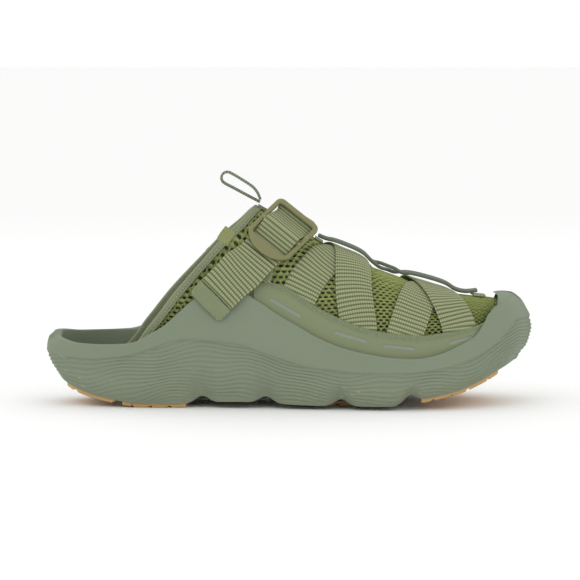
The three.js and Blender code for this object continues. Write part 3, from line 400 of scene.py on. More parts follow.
def grid(points, wrap=False, uv=None):
    """The quads of a grid of points (rows, columns, 3). If wrapped, its last column joins its first."""
    rows, cols = points.shape[:2]
    r, c = np.meshgrid(np.arange(rows - 1), np.arange(cols if wrap else cols - 1), indexing="ij")
    n = (c + 1) % cols
    quads = np.stack([r * cols + c, r * cols + n, (r + 1) * cols + n, (r + 1) * cols + c], -1)
    wide = cols + 1 if wrap else cols
    corner = np.stack([r * wide + c, r * wide + c + 1, (r + 1) * wide + c + 1, (r + 1) * wide + c], -1)
    if uv is None:
        v, u = np.meshgrid(np.arange(rows), np.arange(wide), indexing="ij")
        uv = np.stack([u, v], -1).astype(float)
    return points.reshape(-1, 3), quads.reshape(-1, 4), uv.reshape(-1, 2)[corner.reshape(-1, 4)]


def ladder(points, uv):
    """A closed strip: a wrapped grid of rings whose two ends are closed across the strip, rung by rung."""
    verts, quads, coords = grid(points, True, uv)
    rows, ring = points.shape[:2]
    k = np.arange(ring // 2 - 1)
    cap = np.stack([k, ring - 1 - k, ring - 2 - k, k + 1], -1)
    far = cap[:, ::-1] + (rows - 1) * ring
    ends = np.concatenate([cap, far])
    end_uv = np.zeros((len(ends), 4, 2)) + coords.reshape(-1, 2).mean(0)
    return verts, np.concatenate([quads, ends]), np.concatenate([coords, end_uv])


def sheet(under, over, across=0.0, run=0.0):
    """A closed sheet: an underside and a top with the same rows, joined along their edges and their ends.
    Its map holds the distance across the sheet and the run along it."""
    ring = np.concatenate([under, over[:, ::-1]], axis=1)
    across = np.broadcast_to(across, under.shape[:2])
    across = np.concatenate([across, across[:, ::-1], across[:, :1]], axis=1)
    return ladder(ring, np.stack(np.broadcast_arrays(across, run), -1))


def fan(points, uv=None):
    """A closed tube: a wrapped grid of rings, with each end drawn in to its middle point and welded there."""
    ends = [np.repeat(points[end].mean(0)[None, None], points.shape[1], 1) for end in (0, -1)]
    whole = np.concatenate([ends[0], points, ends[1]])
    return grid(whole, True, None if uv is None else np.concatenate([uv[:1], uv, uv[-1:]]))


def build(name, parts, material, body, replaces=(), weld=0.0, sharp=40, masks=None):
    """Joins parts (vertices, quads, corner coordinates) into one mesh object, in metres, faces outwards."""
    verts, quads, coords, at = [], [], [], 0
    for v, q, c in parts:
        # The sum of the tetrahedra from the middle to each face: below nothing if the faces point inwards.
        one, two, three, four = (v - v.mean(0))[q.T]
        volume = np.sum(one * (np.cross(two, three) + np.cross(three, four)))
        if volume < 0:
            q, c = q[:, ::-1], c[:, ::-1]
        verts.append(v)
        quads.append(q + at)
        coords.append(c)
        at += len(v)
    verts, quads, coords = np.concatenate(verts), np.concatenate(quads), np.concatenate(coords)
    mesh = bpy.data.meshes.new(name)
    mesh.from_pydata(((verts + SHIFT) / 1000).tolist(), [], quads.tolist())
    layer = mesh.uv_layers.new(name="Weave")
    layer.data.foreach_set("uv", (coords.reshape(-1, 2) / 1000).astype(np.float32).ravel())
    for key, values in (masks or {}).items():
        mesh.attributes.new(key, "FLOAT", "POINT").data.foreach_set("value", values.astype(np.float32))
    shaped = bmesh.new()
    shaped.from_mesh(mesh)
    bmesh.ops.remove_doubles(shaped, verts=shaped.verts, dist=weld or 1e-7)
    bmesh.ops.dissolve_degenerate(shaped, edges=shaped.edges, dist=1e-7)
    shaped.to_mesh(mesh)
    shaped.free()
    mesh.polygons.foreach_set("use_smooth", np.ones(len(mesh.polygons), bool))
    mesh.set_sharp_from_angle(angle=math.radians(sharp))
    mesh.update()
    piece = bpy.data.objects.new(name, mesh)
    bpy.context.scene.collection.objects.link(piece)
    mesh.materials.append(material)
    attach(piece, body)
    if replaces:
        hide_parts(*replaces)
    return piece


# ---------------------------------------------------------------- materials

def colour(red, green, blue):
    """A scene colour from display values of 0 to 255."""
    return tuple(((v / 255 + 0.055) / 1.055) ** 2.4 if v > 10 else v / 3294 for v in (red, green, blue))


class Tree:
    """A short way to write a node tree: add() makes a node, sets its values and links its inputs."""

    def __init__(self, tree):
        self.tree = tree

    def feed(self, socket, value):
        """Links an input to another node's socket, or sets it to a number or a colour."""
        if isinstance(value, bpy.types.NodeSocket):
            self.tree.links.new(value, socket)
        elif hasattr(value, "__len__"):
            socket.default_value = (*value[:3], 1)
        else:
            socket.default_value = value

    def add(self, kind, inputs=None, **values):
        """A new node with its settings, and its inputs linked or set."""
        made = self.tree.nodes.new(kind)
        for key, value in values.items():
            setattr(made, key, value)
        for key, value in (inputs or {}).items():
            self.feed(made.inputs[key], value)
        return made

    def math(self, operation, a, b=0.0, c=0.0):
        """The result of a Math node."""
        return self.add("ShaderNodeMath", {0: a, 1: b, 2: c}, operation=operation).outputs[0]

    def mix(self, factor, a, b):
        """Two colours mixed by a factor."""
        made = self.add("ShaderNodeMix", {"Factor": factor}, data_type="RGBA")
        self.feed(made.inputs[6], a)
        self.feed(made.inputs[7], b)
        return made.outputs[2]

    def span(self, value, low, high):
        """Rises smoothly from 0 to 1 as a value goes from low to high."""
        inputs = {"Value": value, "From Min": low, "From Max": high, "To Min": 0.0, "To Max": 1.0}
        return self.add("ShaderNodeMapRange", inputs, interpolation_type="SMOOTHSTEP").outputs["Result"]

    def group(self, name, **inputs):
        """A node group's node, with its inputs linked or set."""
        made = self.add("ShaderNodeGroup", node_tree=bpy.data.node_groups[name])
        for key, value in inputs.items():
            self.feed(made.inputs[key.replace("_", " ")], value)
        return made


def new_group(name, inputs, outputs):
    """An empty node group with named sockets: returns the tree's writer, its input and its output node."""
    tree = bpy.data.node_groups.new(name, "ShaderNodeTree")
    for key, kind, default in inputs:
        socket = tree.interface.new_socket(key, in_out="INPUT", socket_type="NodeSocket" + kind)
        if default is not None:
            socket.default_value = default
    for key, kind in outputs:
        tree.interface.new_socket(key, in_out="OUTPUT", socket_type="NodeSocket" + kind)
    writer = Tree(tree)
    return writer, writer.add("NodeGroupInput").outputs, writer.add("NodeGroupOutput").inputs


def mottle_group():
    """Slow and fast noise over the piece: a colour whose brightness drifts, with dust low down, and a fine
    grain height."""
    t, given, out = new_group(
        "Mottle",
        [("Base", "Color", (0.5, 0.5, 0.5, 1)), ("Drift", "Float", 0.12), ("Patch Scale", "Float", 30.0),
         ("Grain Scale", "Float", 1500.0), ("Dust", "Float", 0.0)],
        [("Color", "Color"), ("Grain", "Float"), ("Patch", "Float")],
    )
    place = t.add("ShaderNodeTexCoord").outputs["Object"]
    patch = t.add("ShaderNodeTexNoise", {"Vector": place, "Scale": given["Patch Scale"], "Detail": 4.0})
    grain = t.add("ShaderNodeTexNoise", {"Vector": place, "Scale": given["Grain Scale"], "Detail": 2.0})
    both = t.math("ADD", t.math("MULTIPLY", patch.outputs["Fac"], 0.7),
                  t.math("MULTIPLY", grain.outputs["Fac"], 0.3))
    shade = t.math("MULTIPLY_ADD", t.math("SUBTRACT", both, 0.5), given["Drift"], 1.0)
    value = t.add("ShaderNodeHueSaturation", {"Color": given["Base"], "Value": shade}).outputs["Color"]
    height = t.add("ShaderNodeSeparateXYZ", {"Vector": place}).outputs["Z"]
    settled = t.math("MULTIPLY", given["Dust"], patch.outputs["Fac"])
    low = t.math("MULTIPLY", t.span(height, 0.03, 0.0), settled)
    dusty = t.mix(low, value, colour(150, 144, 122))
    t.tree.links.new(dusty, out["Color"])
    t.tree.links.new(grain.outputs["Fac"], out["Grain"])
    t.tree.links.new(patch.outputs["Fac"], out["Patch"])


def weave_group():
    """Crossed threads on a piece's own map, in metres: ribs across the strip and yarns along it, each the
    size of the sine of the distance over its pitch. Its crest output peaks on the crests of ribs and yarns,
    for a painted highlight, and its Groove output marks the gaps between ribs, for painted shade."""
    t, given, out = new_group(
        "Weave",
        [("Rib", "Float", 0.0028), ("Yarn", "Float", 0.0007)],
        [("Height", "Float"), ("Crest Highlight", "Float"), ("Groove", "Float")],
    )
    place = t.add("ShaderNodeUVMap", uv_map="Weave").outputs["UV"]
    axes = t.add("ShaderNodeSeparateXYZ", {"Vector": place})
    u, v = axes.outputs["X"], axes.outputs["Y"]

    def ridges(value, pitch):
        """The size of the sine of a distance over its pitch."""
        turn = t.math("MULTIPLY", t.math("DIVIDE", value, pitch), math.pi)
        return t.math("ABSOLUTE", t.math("SINE", turn))

    rib = ridges(v, given["Rib"])
    yarn = ridges(u, given["Yarn"])
    cross = ridges(v, given["Yarn"])
    height = t.math("ADD", t.math("MULTIPLY", yarn, 0.55), t.math("MULTIPLY", cross, 0.45))
    # The narrow gaps between ribs, where woven() paints shade.
    groove = t.math("SUBTRACT", 1.0, t.span(rib, 0.15, 0.8))
    # Painted highlight: brightest where a yarn's crest lies on a rib's crest.
    crest_highlight = t.math("MULTIPLY", t.math("POWER", yarn, 1.5), t.span(rib, 0.45, 0.95))
    shade = t.math("MULTIPLY_ADD", crest_highlight, 0.75, t.math("MULTIPLY", height, 0.3))
    t.tree.links.new(height, out["Height"])
    t.tree.links.new(shade, out["Crest Highlight"])
    t.tree.links.new(groove, out["Groove"])


def wear_and_shade_group():
    """Edge wear and painted shade: lightens a colour where the surface is sharply convex, as wear, and
    darkens it in sharp hollows as painted shade.
    """
    t, given, out = new_group(
        "WearAndShade",
        [("Color", "Color", (0.5, 0.5, 0.5, 1)), ("Amount", "Float", 0.3)],
        [("Color", "Color")],
    )
    point = t.add("ShaderNodeNewGeometry").outputs["Pointiness"]
    edge = t.math("MULTIPLY", t.span(point, 0.52, 0.6), given["Amount"])
    # Painted shade: sharp hollows are mixed towards a dark green-grey, as if shaded.
    crease = t.math("MULTIPLY", t.span(point, 0.48, 0.42), given["Amount"])
    lighter = t.mix(edge, given["Color"], colour(190, 196, 168))
    hollow_shaded = t.mix(crease, lighter, colour(60, 66, 48))
    t.tree.links.new(hollow_shaded, out["Color"])


def surface(name, roughness=0.7, sheen=0.0, coat=0.0, subsurface=0.0):
    """A material with its Principled shader: returns the tree's writer and the shader's node."""
    material = bpy.data.materials.new("sandal_" + name)
    material.use_nodes = True
    material.node_tree.nodes.clear()
    t = Tree(material.node_tree)
    shader = t.add("ShaderNodeBsdfPrincipled")
    shader.inputs["Roughness"].default_value = roughness
    shader.inputs["Sheen Weight"].default_value = sheen
    shader.inputs["Sheen Roughness"].default_value = 0.6
    shader.inputs["Coat Weight"].default_value = coat
    shader.inputs["Specular IOR Level"].default_value = 0.35
    shader.inputs["Subsurface Weight"].default_value = subsurface
    shader.inputs["Subsurface Radius"].default_value = (0.002, 0.0012, 0.0006)
    t.add("ShaderNodeOutputMaterial", {"Surface": shader.outputs[0]})
    return material, t, shader


def relief(t, shader, height, strength, distance):
    """Feeds a height to the shader's normal."""
    bump = t.add("ShaderNodeBump", {"Strength": strength, "Distance": distance, "Height": height})
    t.tree.links.new(bump.outputs["Normal"], shader.inputs["Normal"])


def grained(name, base, drift=0.12, grain=1500.0, depth=0.00012, roughness=0.65, dust=0.0, wear_and_shade=0.25,
            coat=0.0, subsurface=0.0):
    """Moulded foam, rubber or plastic: drifting colour, fine grain, wear at its edges, painted shade in its
    hollows, gloss that varies.
    """
    material, t, shader = surface(name, roughness, coat=coat, subsurface=subsurface)
    mottle = t.group("Mottle", Base=base, Drift=drift, Grain_Scale=grain, Dust=dust)
    wear_and_shade_colour = t.group("WearAndShade", Color=mottle.outputs["Color"], Amount=wear_and_shade).outputs["Color"]
    t.tree.links.new(wear_and_shade_colour, shader.inputs["Base Color"])
    gloss = t.math("MULTIPLY_ADD", mottle.outputs["Patch"], 0.2, roughness - 0.1)
    t.tree.links.new(gloss, shader.inputs["Roughness"])
    relief(t, shader, mottle.outputs["Grain"], 0.35, depth)
    return material


def woven(name, base, light, rib=0.0028, yarn=0.0007, sheen=0.25, roughness=0.8, groove_shade=0.55):
    """Webbing, tape and knit: a mottled base on the piece's map, mixed towards a light colour on the crests
    of ribs and yarns as painted highlight and darkened between ribs as painted shade, with a soft sheen.
    """
    material, t, shader = surface(name, roughness, sheen)
    shader.inputs["Sheen Tint"].default_value = (*light, 1)
    weave = t.group("Weave", Rib=rib, Yarn=yarn)
    mottle = t.group("Mottle", Base=base, Drift=0.18, Patch_Scale=60.0, Grain_Scale=2600.0)
    # Painted highlight: the base mixed towards the light colour on the crests of ribs and yarns.
    lit = t.mix(weave.outputs["Crest Highlight"], mottle.outputs["Color"], light)
    # Painted shade: the gaps between ribs are mixed towards a third of the base colour.
    groove_shade_colour = [v * 0.3 for v in base]
    shaded = t.mix(t.math("MULTIPLY", weave.outputs["Groove"], groove_shade), lit, groove_shade_colour)
    t.tree.links.new(shaded, shader.inputs["Base Color"])
    fuzz = t.math("MULTIPLY_ADD", mottle.outputs["Grain"], 0.2, weave.outputs["Height"])
    relief(t, shader, fuzz, 0.6, 0.00022)
    return material


def banded_film(name, base, webbing):
    """Fused film: smooth and satin, stippled towards its top edge, with grey slots where it is marked."""
    material, t, shader = surface(name, 0.5)
    mottle = t.group("Mottle", Base=base, Drift=0.1, Patch_Scale=25.0, Grain_Scale=3500.0)
    fade = t.add("ShaderNodeAttribute", attribute_name="fade").outputs["Fac"]
    slot = t.add("ShaderNodeAttribute", attribute_name="slot").outputs["Fac"]
    place = t.add("ShaderNodeTexCoord").outputs["Object"]
    dots = t.add("ShaderNodeTexVoronoi", {"Vector": place, "Scale": 900.0}).outputs["Distance"]
    stipple = t.math("MULTIPLY", t.span(dots, 0.25, 0.55), t.span(fade, 0.1, 0.75))
    mixed = t.mix(stipple, mottle.outputs["Color"], webbing)
    slotted = t.mix(t.span(slot, 0.35, 0.65), mixed, colour(136, 142, 130))
    t.tree.links.new(slotted, shader.inputs["Base Color"])
    rough = t.math("MULTIPLY_ADD", stipple, 0.25, 0.48)
    t.tree.links.new(rough, shader.inputs["Roughness"])
    height = t.math("MULTIPLY_ADD", mottle.outputs["Grain"], 0.4, stipple)
    relief(t, shader, height, 0.4, 0.00012)
    return material


def corded(name, base, light, pitch=0.0016):
    """Braided cord: two sets of diagonal yarns on the cord's map, with their crests mixed towards a light
    colour as painted highlight.
    """
    material, t, shader = surface(name, 0.75, 0.2)
    place = t.add("ShaderNodeUVMap", uv_map="Weave").outputs["UV"]
    axes = t.add("ShaderNodeSeparateXYZ", {"Vector": place})
    u, v = axes.outputs["X"], axes.outputs["Y"]
    one = t.math("ABSOLUTE", t.math("SINE", t.math("MULTIPLY", t.math("ADD", u, v), math.pi / pitch)))
    two = t.math("ABSOLUTE", t.math("SINE", t.math("MULTIPLY", t.math("SUBTRACT", u, v), math.pi / pitch)))
    braid = t.math("MAXIMUM", one, two)
    mottle = t.group("Mottle", Base=base, Drift=0.2, Patch_Scale=80.0, Grain_Scale=2600.0)
    # Painted highlight: the braid's raised crests are mixed towards the light colour.
    lit = t.mix(t.math("MULTIPLY", t.span(braid, 0.5, 1.0), 0.45), mottle.outputs["Color"], light)
    t.tree.links.new(lit, shader.inputs["Base Color"])
    relief(t, shader, braid, 0.7, 0.0002)
    return material


# ---------------------------------------------------------------- settings

def tone(label, default, words):
    """A colour setting, with its default in display values."""
    return FloatVectorProperty(name=label, description=words, subtype="COLOR", size=3, min=0, max=1,
                               default=colour(*default))


def length(label, default, low, high, words):
    """A length setting, in metres."""
    return FloatProperty(name=label, description=words, default=default, min=low, max=high,
                         subtype="DISTANCE", unit="LENGTH")


class SandalColours(bpy.types.PropertyGroup):
    """Colours of the sandal's finishes."""

    foam: tone("Foam", (124, 135, 114), "Moulded foam of the sole")
    gum: tone("Gum rubber", (198, 150, 78), "Treads under the sole")
    net: tone("Net yarn", (136, 147, 86), "Bright yarn of the open net")
    # net_light is the painted highlight on the net's yarn crests, and its sheen tint.
    net_light: tone("Net light", (166, 175, 108), "Lighter yarn of the open net")
    # The lining tone is set darker than the knit's own grey-green: partly its colour, partly painted shade
    # for the lining seen through the net's holes. The board shares it.
    lining: tone("Lining", (70, 78, 62), "Knit lining and inner parts")
    # webbing is the base colour; webbing_light is the painted highlight on the crests of webbing, binding and
    # anchor tape, and their sheen tint.
    webbing: tone("Webbing", (112, 120, 86), "Darker yarn of the webbing")
    webbing_light: tone("Webbing light", (166, 172, 130), "Lighter yarn of the webbing")
    film: tone("Film", (124, 133, 100), "Fused band round the vamp")
    binding: tone("Binding", (102, 112, 94), "Binding of the collar")
    thread: tone("Thread", (176, 184, 152), "Stitching and piping")
    buckle: tone("Buckle", (122, 121, 80), "Moulded buckle")
    lace: tone("Lace", (84, 94, 78), "Elastic lace")
    label: tone("Label", (134, 137, 90), "Folded side tab")


class SandalDetails(bpy.types.PropertyGroup):
    """Sizes of the surface detail that the frame doesn't hold."""

    groove_pitch: length("Groove pitch", 0.0024, 0.0015, 0.006, "Distance between the foam's contour grooves")
    groove_depth: length("Groove depth", 0.0006, 0.0, 0.0015, "Depth of the foam's contour grooves")
    rib_pitch: length("Rib pitch", 0.0026, 0.0015, 0.006, "Distance between the webbing's cross ribs")
    rib_depth: length("Rib depth", 0.0004, 0.0, 0.0008, "Depth between the webbing's cross ribs")
    hole_length: length("Net hole length", 0.0039, 0.002, 0.008, "Distance between holes along the net")
    hole_row: length("Net row height", 0.0016, 0.001, 0.004, "Distance between the net's rows of holes")


def colours():
    """The colours set for this scene."""
    return bpy.context.scene.sandal_colours


def details():
    """The sizes of detail set for this scene."""
    return bpy.context.scene.sandal_details


def finish_named(name):
    """The named finish, made the first time it is asked for."""
    known = bpy.data.materials.get("sandal_" + name)
    if known:
        return known
    c = colours()
    rib = details().rib_pitch
    makers = {
        "foam": lambda: grained("foam", c.foam, drift=0.16, grain=1400.0, depth=0.00016, roughness=0.68,
                                dust=0.35, wear_and_shade=0.3),
        "gum": lambda: grained("gum", c.gum, drift=0.2, grain=900.0, depth=0.0001, roughness=0.5, dust=0.3,
                               wear_and_shade=0.2, subsurface=0.15),
        "board": lambda: woven("board", c.lining, c.binding, rib=0.002, yarn=0.001),
        "footbed": lambda: grained("footbed", c.binding, drift=0.2, grain=1100.0, depth=0.0002,
                                   roughness=0.85, wear_and_shade=0.1),
        "topcloth": lambda: woven("topcloth", c.binding, c.webbing, rib=0.0012, yarn=0.0006, sheen=0.3,
                                  roughness=0.9, groove_shade=0.2),
        "net": lambda: woven("net", c.net, c.net_light, rib=0.0012, yarn=0.0005, sheen=0.2, groove_shade=0.15),
        "lining": lambda: woven("lining", c.lining, c.binding, rib=0.0024, yarn=0.0008, sheen=0.2,
                                roughness=0.9, groove_shade=0.6),
        "binding": lambda: woven("binding", c.binding, c.webbing_light, rib=0.0009, yarn=0.0006, sheen=0.3,
                                 roughness=0.9, groove_shade=0.3),
        "webbing": lambda: woven("webbing", c.webbing, c.webbing_light, rib=rib, yarn=0.0014, sheen=0.1,
                                 roughness=0.78, groove_shade=0.6),
        "anchor": lambda: woven("anchor", c.webbing, c.webbing_light, rib=0.0014, yarn=0.0006, sheen=0.2,
                                groove_shade=0.4),
        "film": lambda: banded_film("film", c.film, colour(112, 122, 92)),
        "tip": lambda: grained("tip", c.film, drift=0.08, grain=3000.0, depth=0.00006, roughness=0.5,
                               wear_and_shade=0.3),
        "buckle": lambda: grained("buckle", c.buckle, drift=0.1, grain=2200.0, depth=0.00006, roughness=0.38,
                                  wear_and_shade=0.35, coat=0.15),
        "tape": lambda: woven("tape", colour(92, 102, 84), colour(138, 148, 124), rib=0.0016, yarn=0.0006,
                              sheen=0.2, roughness=0.85, groove_shade=0.4),
        "lace": lambda: corded("lace", c.lace, colour(124, 134, 112)),
        "label": lambda: woven("label", c.label, colour(160, 164, 112), rib=0.001, yarn=0.0005, sheen=0.2,
                               roughness=0.75, groove_shade=0.3),
        "thread": lambda: corded("thread", c.thread, colour(200, 206, 178), pitch=0.0008),
    }
    return makers[name]()


# ---------------------------------------------------------------- sole

crease = curve([
    (-148.8, 32.5), (-138.6, 30.9), (-122.9, 30.2), (-107, 31.3), (-95, 33.3), (-83.6, 37.1), (-71.8, 41.5),
    (-63.9, 42.5), (-52, 42), (-31, 39.9), (-18.6, 35.6), (-3.7, 30.8), (11.3, 26.6), (26, 25.1),
    (44.7, 23.4), (67.5, 23.4), (87.5, 25.4), (100.5, 27.8), (110.8, 31.3), (124.6, 38.8), (134.9, 47.8),
    (140.4, 53.3),
])
FOAM_STATIONS = 330
LOW_LEVELS, HIGH_LEVELS = 84, 14
RIM_CAP = 1.2
TOE_LIP_FROM = 10.2
CAVITY_HEEL = LAST_HEEL - FOAM_SEAT / SOLE_LENGTH + 0.0008
CAVITY_TOE = LAST_TOE + FOAM_SEAT / SOLE_LENGTH - 0.0008
TOE_LIP = [(10, 0.76), (11, 0.85), (12, 0.897), (13, 0.921), (14, 0.926), (15, 0.918)]
TOE_LIP_HEIGHTS = [35.2, 38.4, 46, 55.5, 62]
OUTLINE_SPANS = 15


def even_loop(start, end, count):
    """Values along the outline loop whose points lie evenly spread between two of them."""
    dense = np.linspace(start, end, 3000)
    run = run_of(closed_loop(OUTLINE, dense))
    return np.interp(np.linspace(0, run[-1], count), run, dense)


def contours(x, z):
    """Depth of the contour grooves from 0 to 1: level lines of height less a slow wave that follows the
    crease, taken once every pitch, so that they bunch and spread like the lines of a map."""
    pitch = details().groove_pitch * 1000
    wave = 0.62 * crease(x) + 1.7 * np.sin(x / 13.5 + z / 8) + 0.9 * np.sin(x / 6.1 - z / 11 + 1.3)
    turn = (z - wave) / pitch
    return (0.5 + 0.5 * np.cos(2 * math.pi * turn)) ** 1.6


def foam_wall(along, side):
    """The foam's outer face: the plan outline moved inwards by the insets of its level, its dents and its
    carved relief, from the bottom edge up to the crease and on to the rim. The bottom edge's height is that
    of the sole's underside at its own place, tucked in from the outline."""
    p = closed_loop(OUTLINE, along)
    tangent = closed_loop(OUTLINE, along + 1e-4) - closed_loop(OUTLINE, along - 1e-4)
    normal = unit(np.stack([tangent[:, 1], -tangent[:, 0]], 1))
    share = np.clip(to_share(p[:, 0]), 0, 1)
    facing = normal[:, 0]
    end, front = facing ** 2, facing > 0
    tuck = end * np.where(front, toe_inset(0.0), heel_inset(0.0)) + (1 - end) * side_inset(0.0)
    bottom = foam_bottom(to_share(p[:, 0] - facing * tuck)) + NOTCH_DEPTH * bumps(share, NOTCH_SPREAD)
    rim = lateral_rim(share) if side == LATERAL else medial_rim(share)
    within = np.clip(share, 0.07, 0.92)
    seat = on_upper(within, angle_at(within, side, rim), FOAM_SEAT + FOAM_RIM_WALL)
    rim_inset = np.clip(np.abs(p[:, 1]) - np.abs(seat[:, 1]), 1, 16)[:, None]
    top = np.where(front, end * bumper_crown(share) + (1 - end) * rim, rim) - RIM_CAP
    turn = np.clip((crease(p[:, 0]) - bottom) / (top - bottom), 0.12, 0.86)[:, None]
    level = np.concatenate([
        turn * np.linspace(0, 1, LOW_LEVELS)[None],
        turn + (1 - turn) * np.linspace(0, 1, HIGH_LEVELS + 1)[None, 1:],
    ], axis=1)
    sides = np.where(level <= 0.5, side_inset(level), 0.8 + (rim_inset - 0.8) * smooth((level - 0.5) * 2))
    ends = np.where(front[:, None], toe_inset(level), heel_inset(level))
    dent = DENT_DEPTH * bumps(share, DENT_SPREAD)[:, None] * (1 - smooth(level / DENT_TOP))
    z = bottom[:, None] + (top - bottom)[:, None] * level
    below = crease(p[:, 0])[:, None] - z
    step = 0.8 * smooth(below / 1.3) * np.exp(-np.maximum(below, 0) / 9)
    calm = smooth(level / 0.07) * (1 - 0.85 * np.clip(bumps(share, DENT_SPREAD)[:, None], 0, 1)
                                   * (1 - smooth(level / 0.4)))
    groove = details().groove_depth * 1000 * contours(p[:, :1], z) * smooth((below - 0.6) / 1.5) * calm
    inset = end[:, None] * ends + (1 - end)[:, None] * sides + dent + step + groove
    plan = p[:, None] - normal[:, None] * inset[..., None]
    return np.concatenate([plan, z[..., None]], axis=-1), share


def foam_lip(along, share, side):
    """Where the foam meets the upper: beside it along the rim, and over the toe along a lip. The two blend
    by a share of the lip, which is 0 along the rim and 1 at the toe."""
    k = (along if side == LATERAL else 1 - along) * 2 * OUTLINE_SPANS
    rim = (lateral_rim if side == LATERAL else medial_rim)(share)
    back = share + CAVITY_HEEL * (1 - smooth(share / 0.5))
    lip = curve(TOE_LIP)(k)
    heights = [float(angle_at(s, side, z)) for (_, s), z in zip(TOE_LIP, TOE_LIP_HEIGHTS)] + [RIDGE]
    lip_angle = curve(list(zip([i for i, _ in TOE_LIP], heights)))(k)
    low = rim - RIM_CAP
    front = smooth((k - TOE_LIP_FROM) / 1.2)[:, None]
    direct = beside_upper(back, side, low, FOAM_SEAT)
    over = on_upper(lip, lip_angle, FOAM_SEAT)
    return (1 - front) * direct + front * over, back, lip, lip_angle, low, front


def foam_inside(along, share, side, steps=9):
    """The cavity's wall, from the lip down to the board."""
    start, back, lip, lip_angle, low, front = foam_lip(along, share, side)
    w = np.linspace(0, 1, steps)[None, :]
    round_half = ((along if side == LATERAL else 1 - along) * 2)[:, None]
    floor = floor_line(back)[:, None] + 0.01
    straight = beside_upper(back[:, None], side, low[:, None] * (1 - w) + floor * w, FOAM_SEAT)
    ground = (CAVITY_HEEL + (CAVITY_TOE - CAVITY_HEEL) * share)[:, None]
    foot = RIDGE - side * RIDGE * (1 - smooth((round_half - 0.93) / 0.07))
    turned = on_upper(lip[:, None] * (1 - w) + ground * w, lip_angle[:, None] * (1 - w) + foot * w, FOAM_SEAT)
    wall = (1 - front[:, None]) * straight + front[:, None] * turned
    wall[:, 0] = start
    return wall


def foam_side(side):
    """One half of the foam, from heel to toe: its outer wall, its rim's rounded cap and its cavity's wall."""
    along = even_loop(0, 0.5, FOAM_STATIONS) if side == LATERAL else even_loop(1 - 1e-9, 0.5, FOAM_STATIONS)
    wall, share = foam_wall(along, side)
    inside = foam_inside(along, share, side)
    turn = np.linspace(0, math.pi, 10)[None, 1:-1, None]
    a, b = wall[:, -1:], inside[:, :1]
    cap = a * (1 + np.cos(turn)) / 2 + b * (1 - np.cos(turn)) / 2
    cap[..., 2] += RIM_CAP * np.sin(turn[..., 0])
    return wall, cap, inside, share


def sole_centre(lateral, medial):
    """The line down the middle of the sole that both halves share: midway between their bottom edges."""
    x = to_x(0.08 + 0.84 * (lateral[3] + medial[3]) / 2)
    middle = (lateral[0][:, 0] + medial[0][:, 0]) / 2
    return x, np.interp(x, middle[:, 0], middle[:, 1])


SIPE_DEPTH, SIPE_PITCH = 0.8, 7


def foam_rows(half, x, y):
    """Joins one half's underside, wall, cap, cavity wall and floor into rows that run round the section."""
    wall, cap, inside, _ = half
    q = np.linspace(0, 1, 12)[None, :-1, None]
    middle = np.stack([x, y, foam_bottom(to_share(x))], 1)[:, None]
    under = middle * (1 - q) + wall[:, :1] * q
    place = to_share(under[..., 0])
    notch = NOTCH_DEPTH * bumps(place, NOTCH_SPREAD) * smooth(q[..., 0] * 1.4 - 0.4)
    level = foam_bottom(place) + notch
    sipes = SIPE_DEPTH * (0.5 + 0.5 * np.cos(under[..., 0] / SIPE_PITCH * 2 * math.pi)) ** 6
    sipes *= smooth((1 - q[..., 0]) * 2.5 - 0.5)
    ease = smooth((q[..., 0] - 0.8) / 0.2)
    edge_z = wall[:, :1, 2]
    under[..., 2] = (level + sipes) * (1 - ease) + edge_z * ease
    board = np.stack([x, y, floor_line(to_share(x)) - BOARD_THICK - 2 * GAP], 1)[:, None]
    sink = inside[:, -1:].copy()
    sink[..., 2] -= BOARD_THICK + 2 * GAP
    r = np.linspace(0, 1, 5)[None, :, None]
    floor = sink * (1 - r) + board * r
    return np.concatenate([under, wall, cap, inside, floor], axis=1)


def midsole(lateral, medial):
    """The foam sole: both halves' rows joined into one loop that meets at the heel and at the toe."""
    x, y = sole_centre(lateral, medial)
    one, other = foam_rows(lateral, x, y), foam_rows(medial, x, y)
    tips = (one[[0, -1]] + other[[0, -1]]) / 2
    loop = np.concatenate([tips[:1], one[1:-1], tips[1:], other[1:-1][::-1], tips[:1]])
    return build("midsole", [grid(loop)], finish_named("foam"), "shoe", ["midsole_foam"],
                 weld=2e-5, sharp=50)


TREADS = [
    ("heel_tread", 0.045, 0.145, None), ("rear_tread", 0.16, 0.29, None), ("arch_tread", 0.345, 0.425, 16),
    ("ball_tread", 0.575, 0.715, 24), ("front_tread", 0.765, 0.925, None),
]
TREAD_MARGIN, TREAD_SUNK = 1.2, 0.7
LUG_PITCH, LUG_GAP, LUG_DEPTH = 11.5, 1.5, 1.7
LANE_FROM_MIDDLE = 15


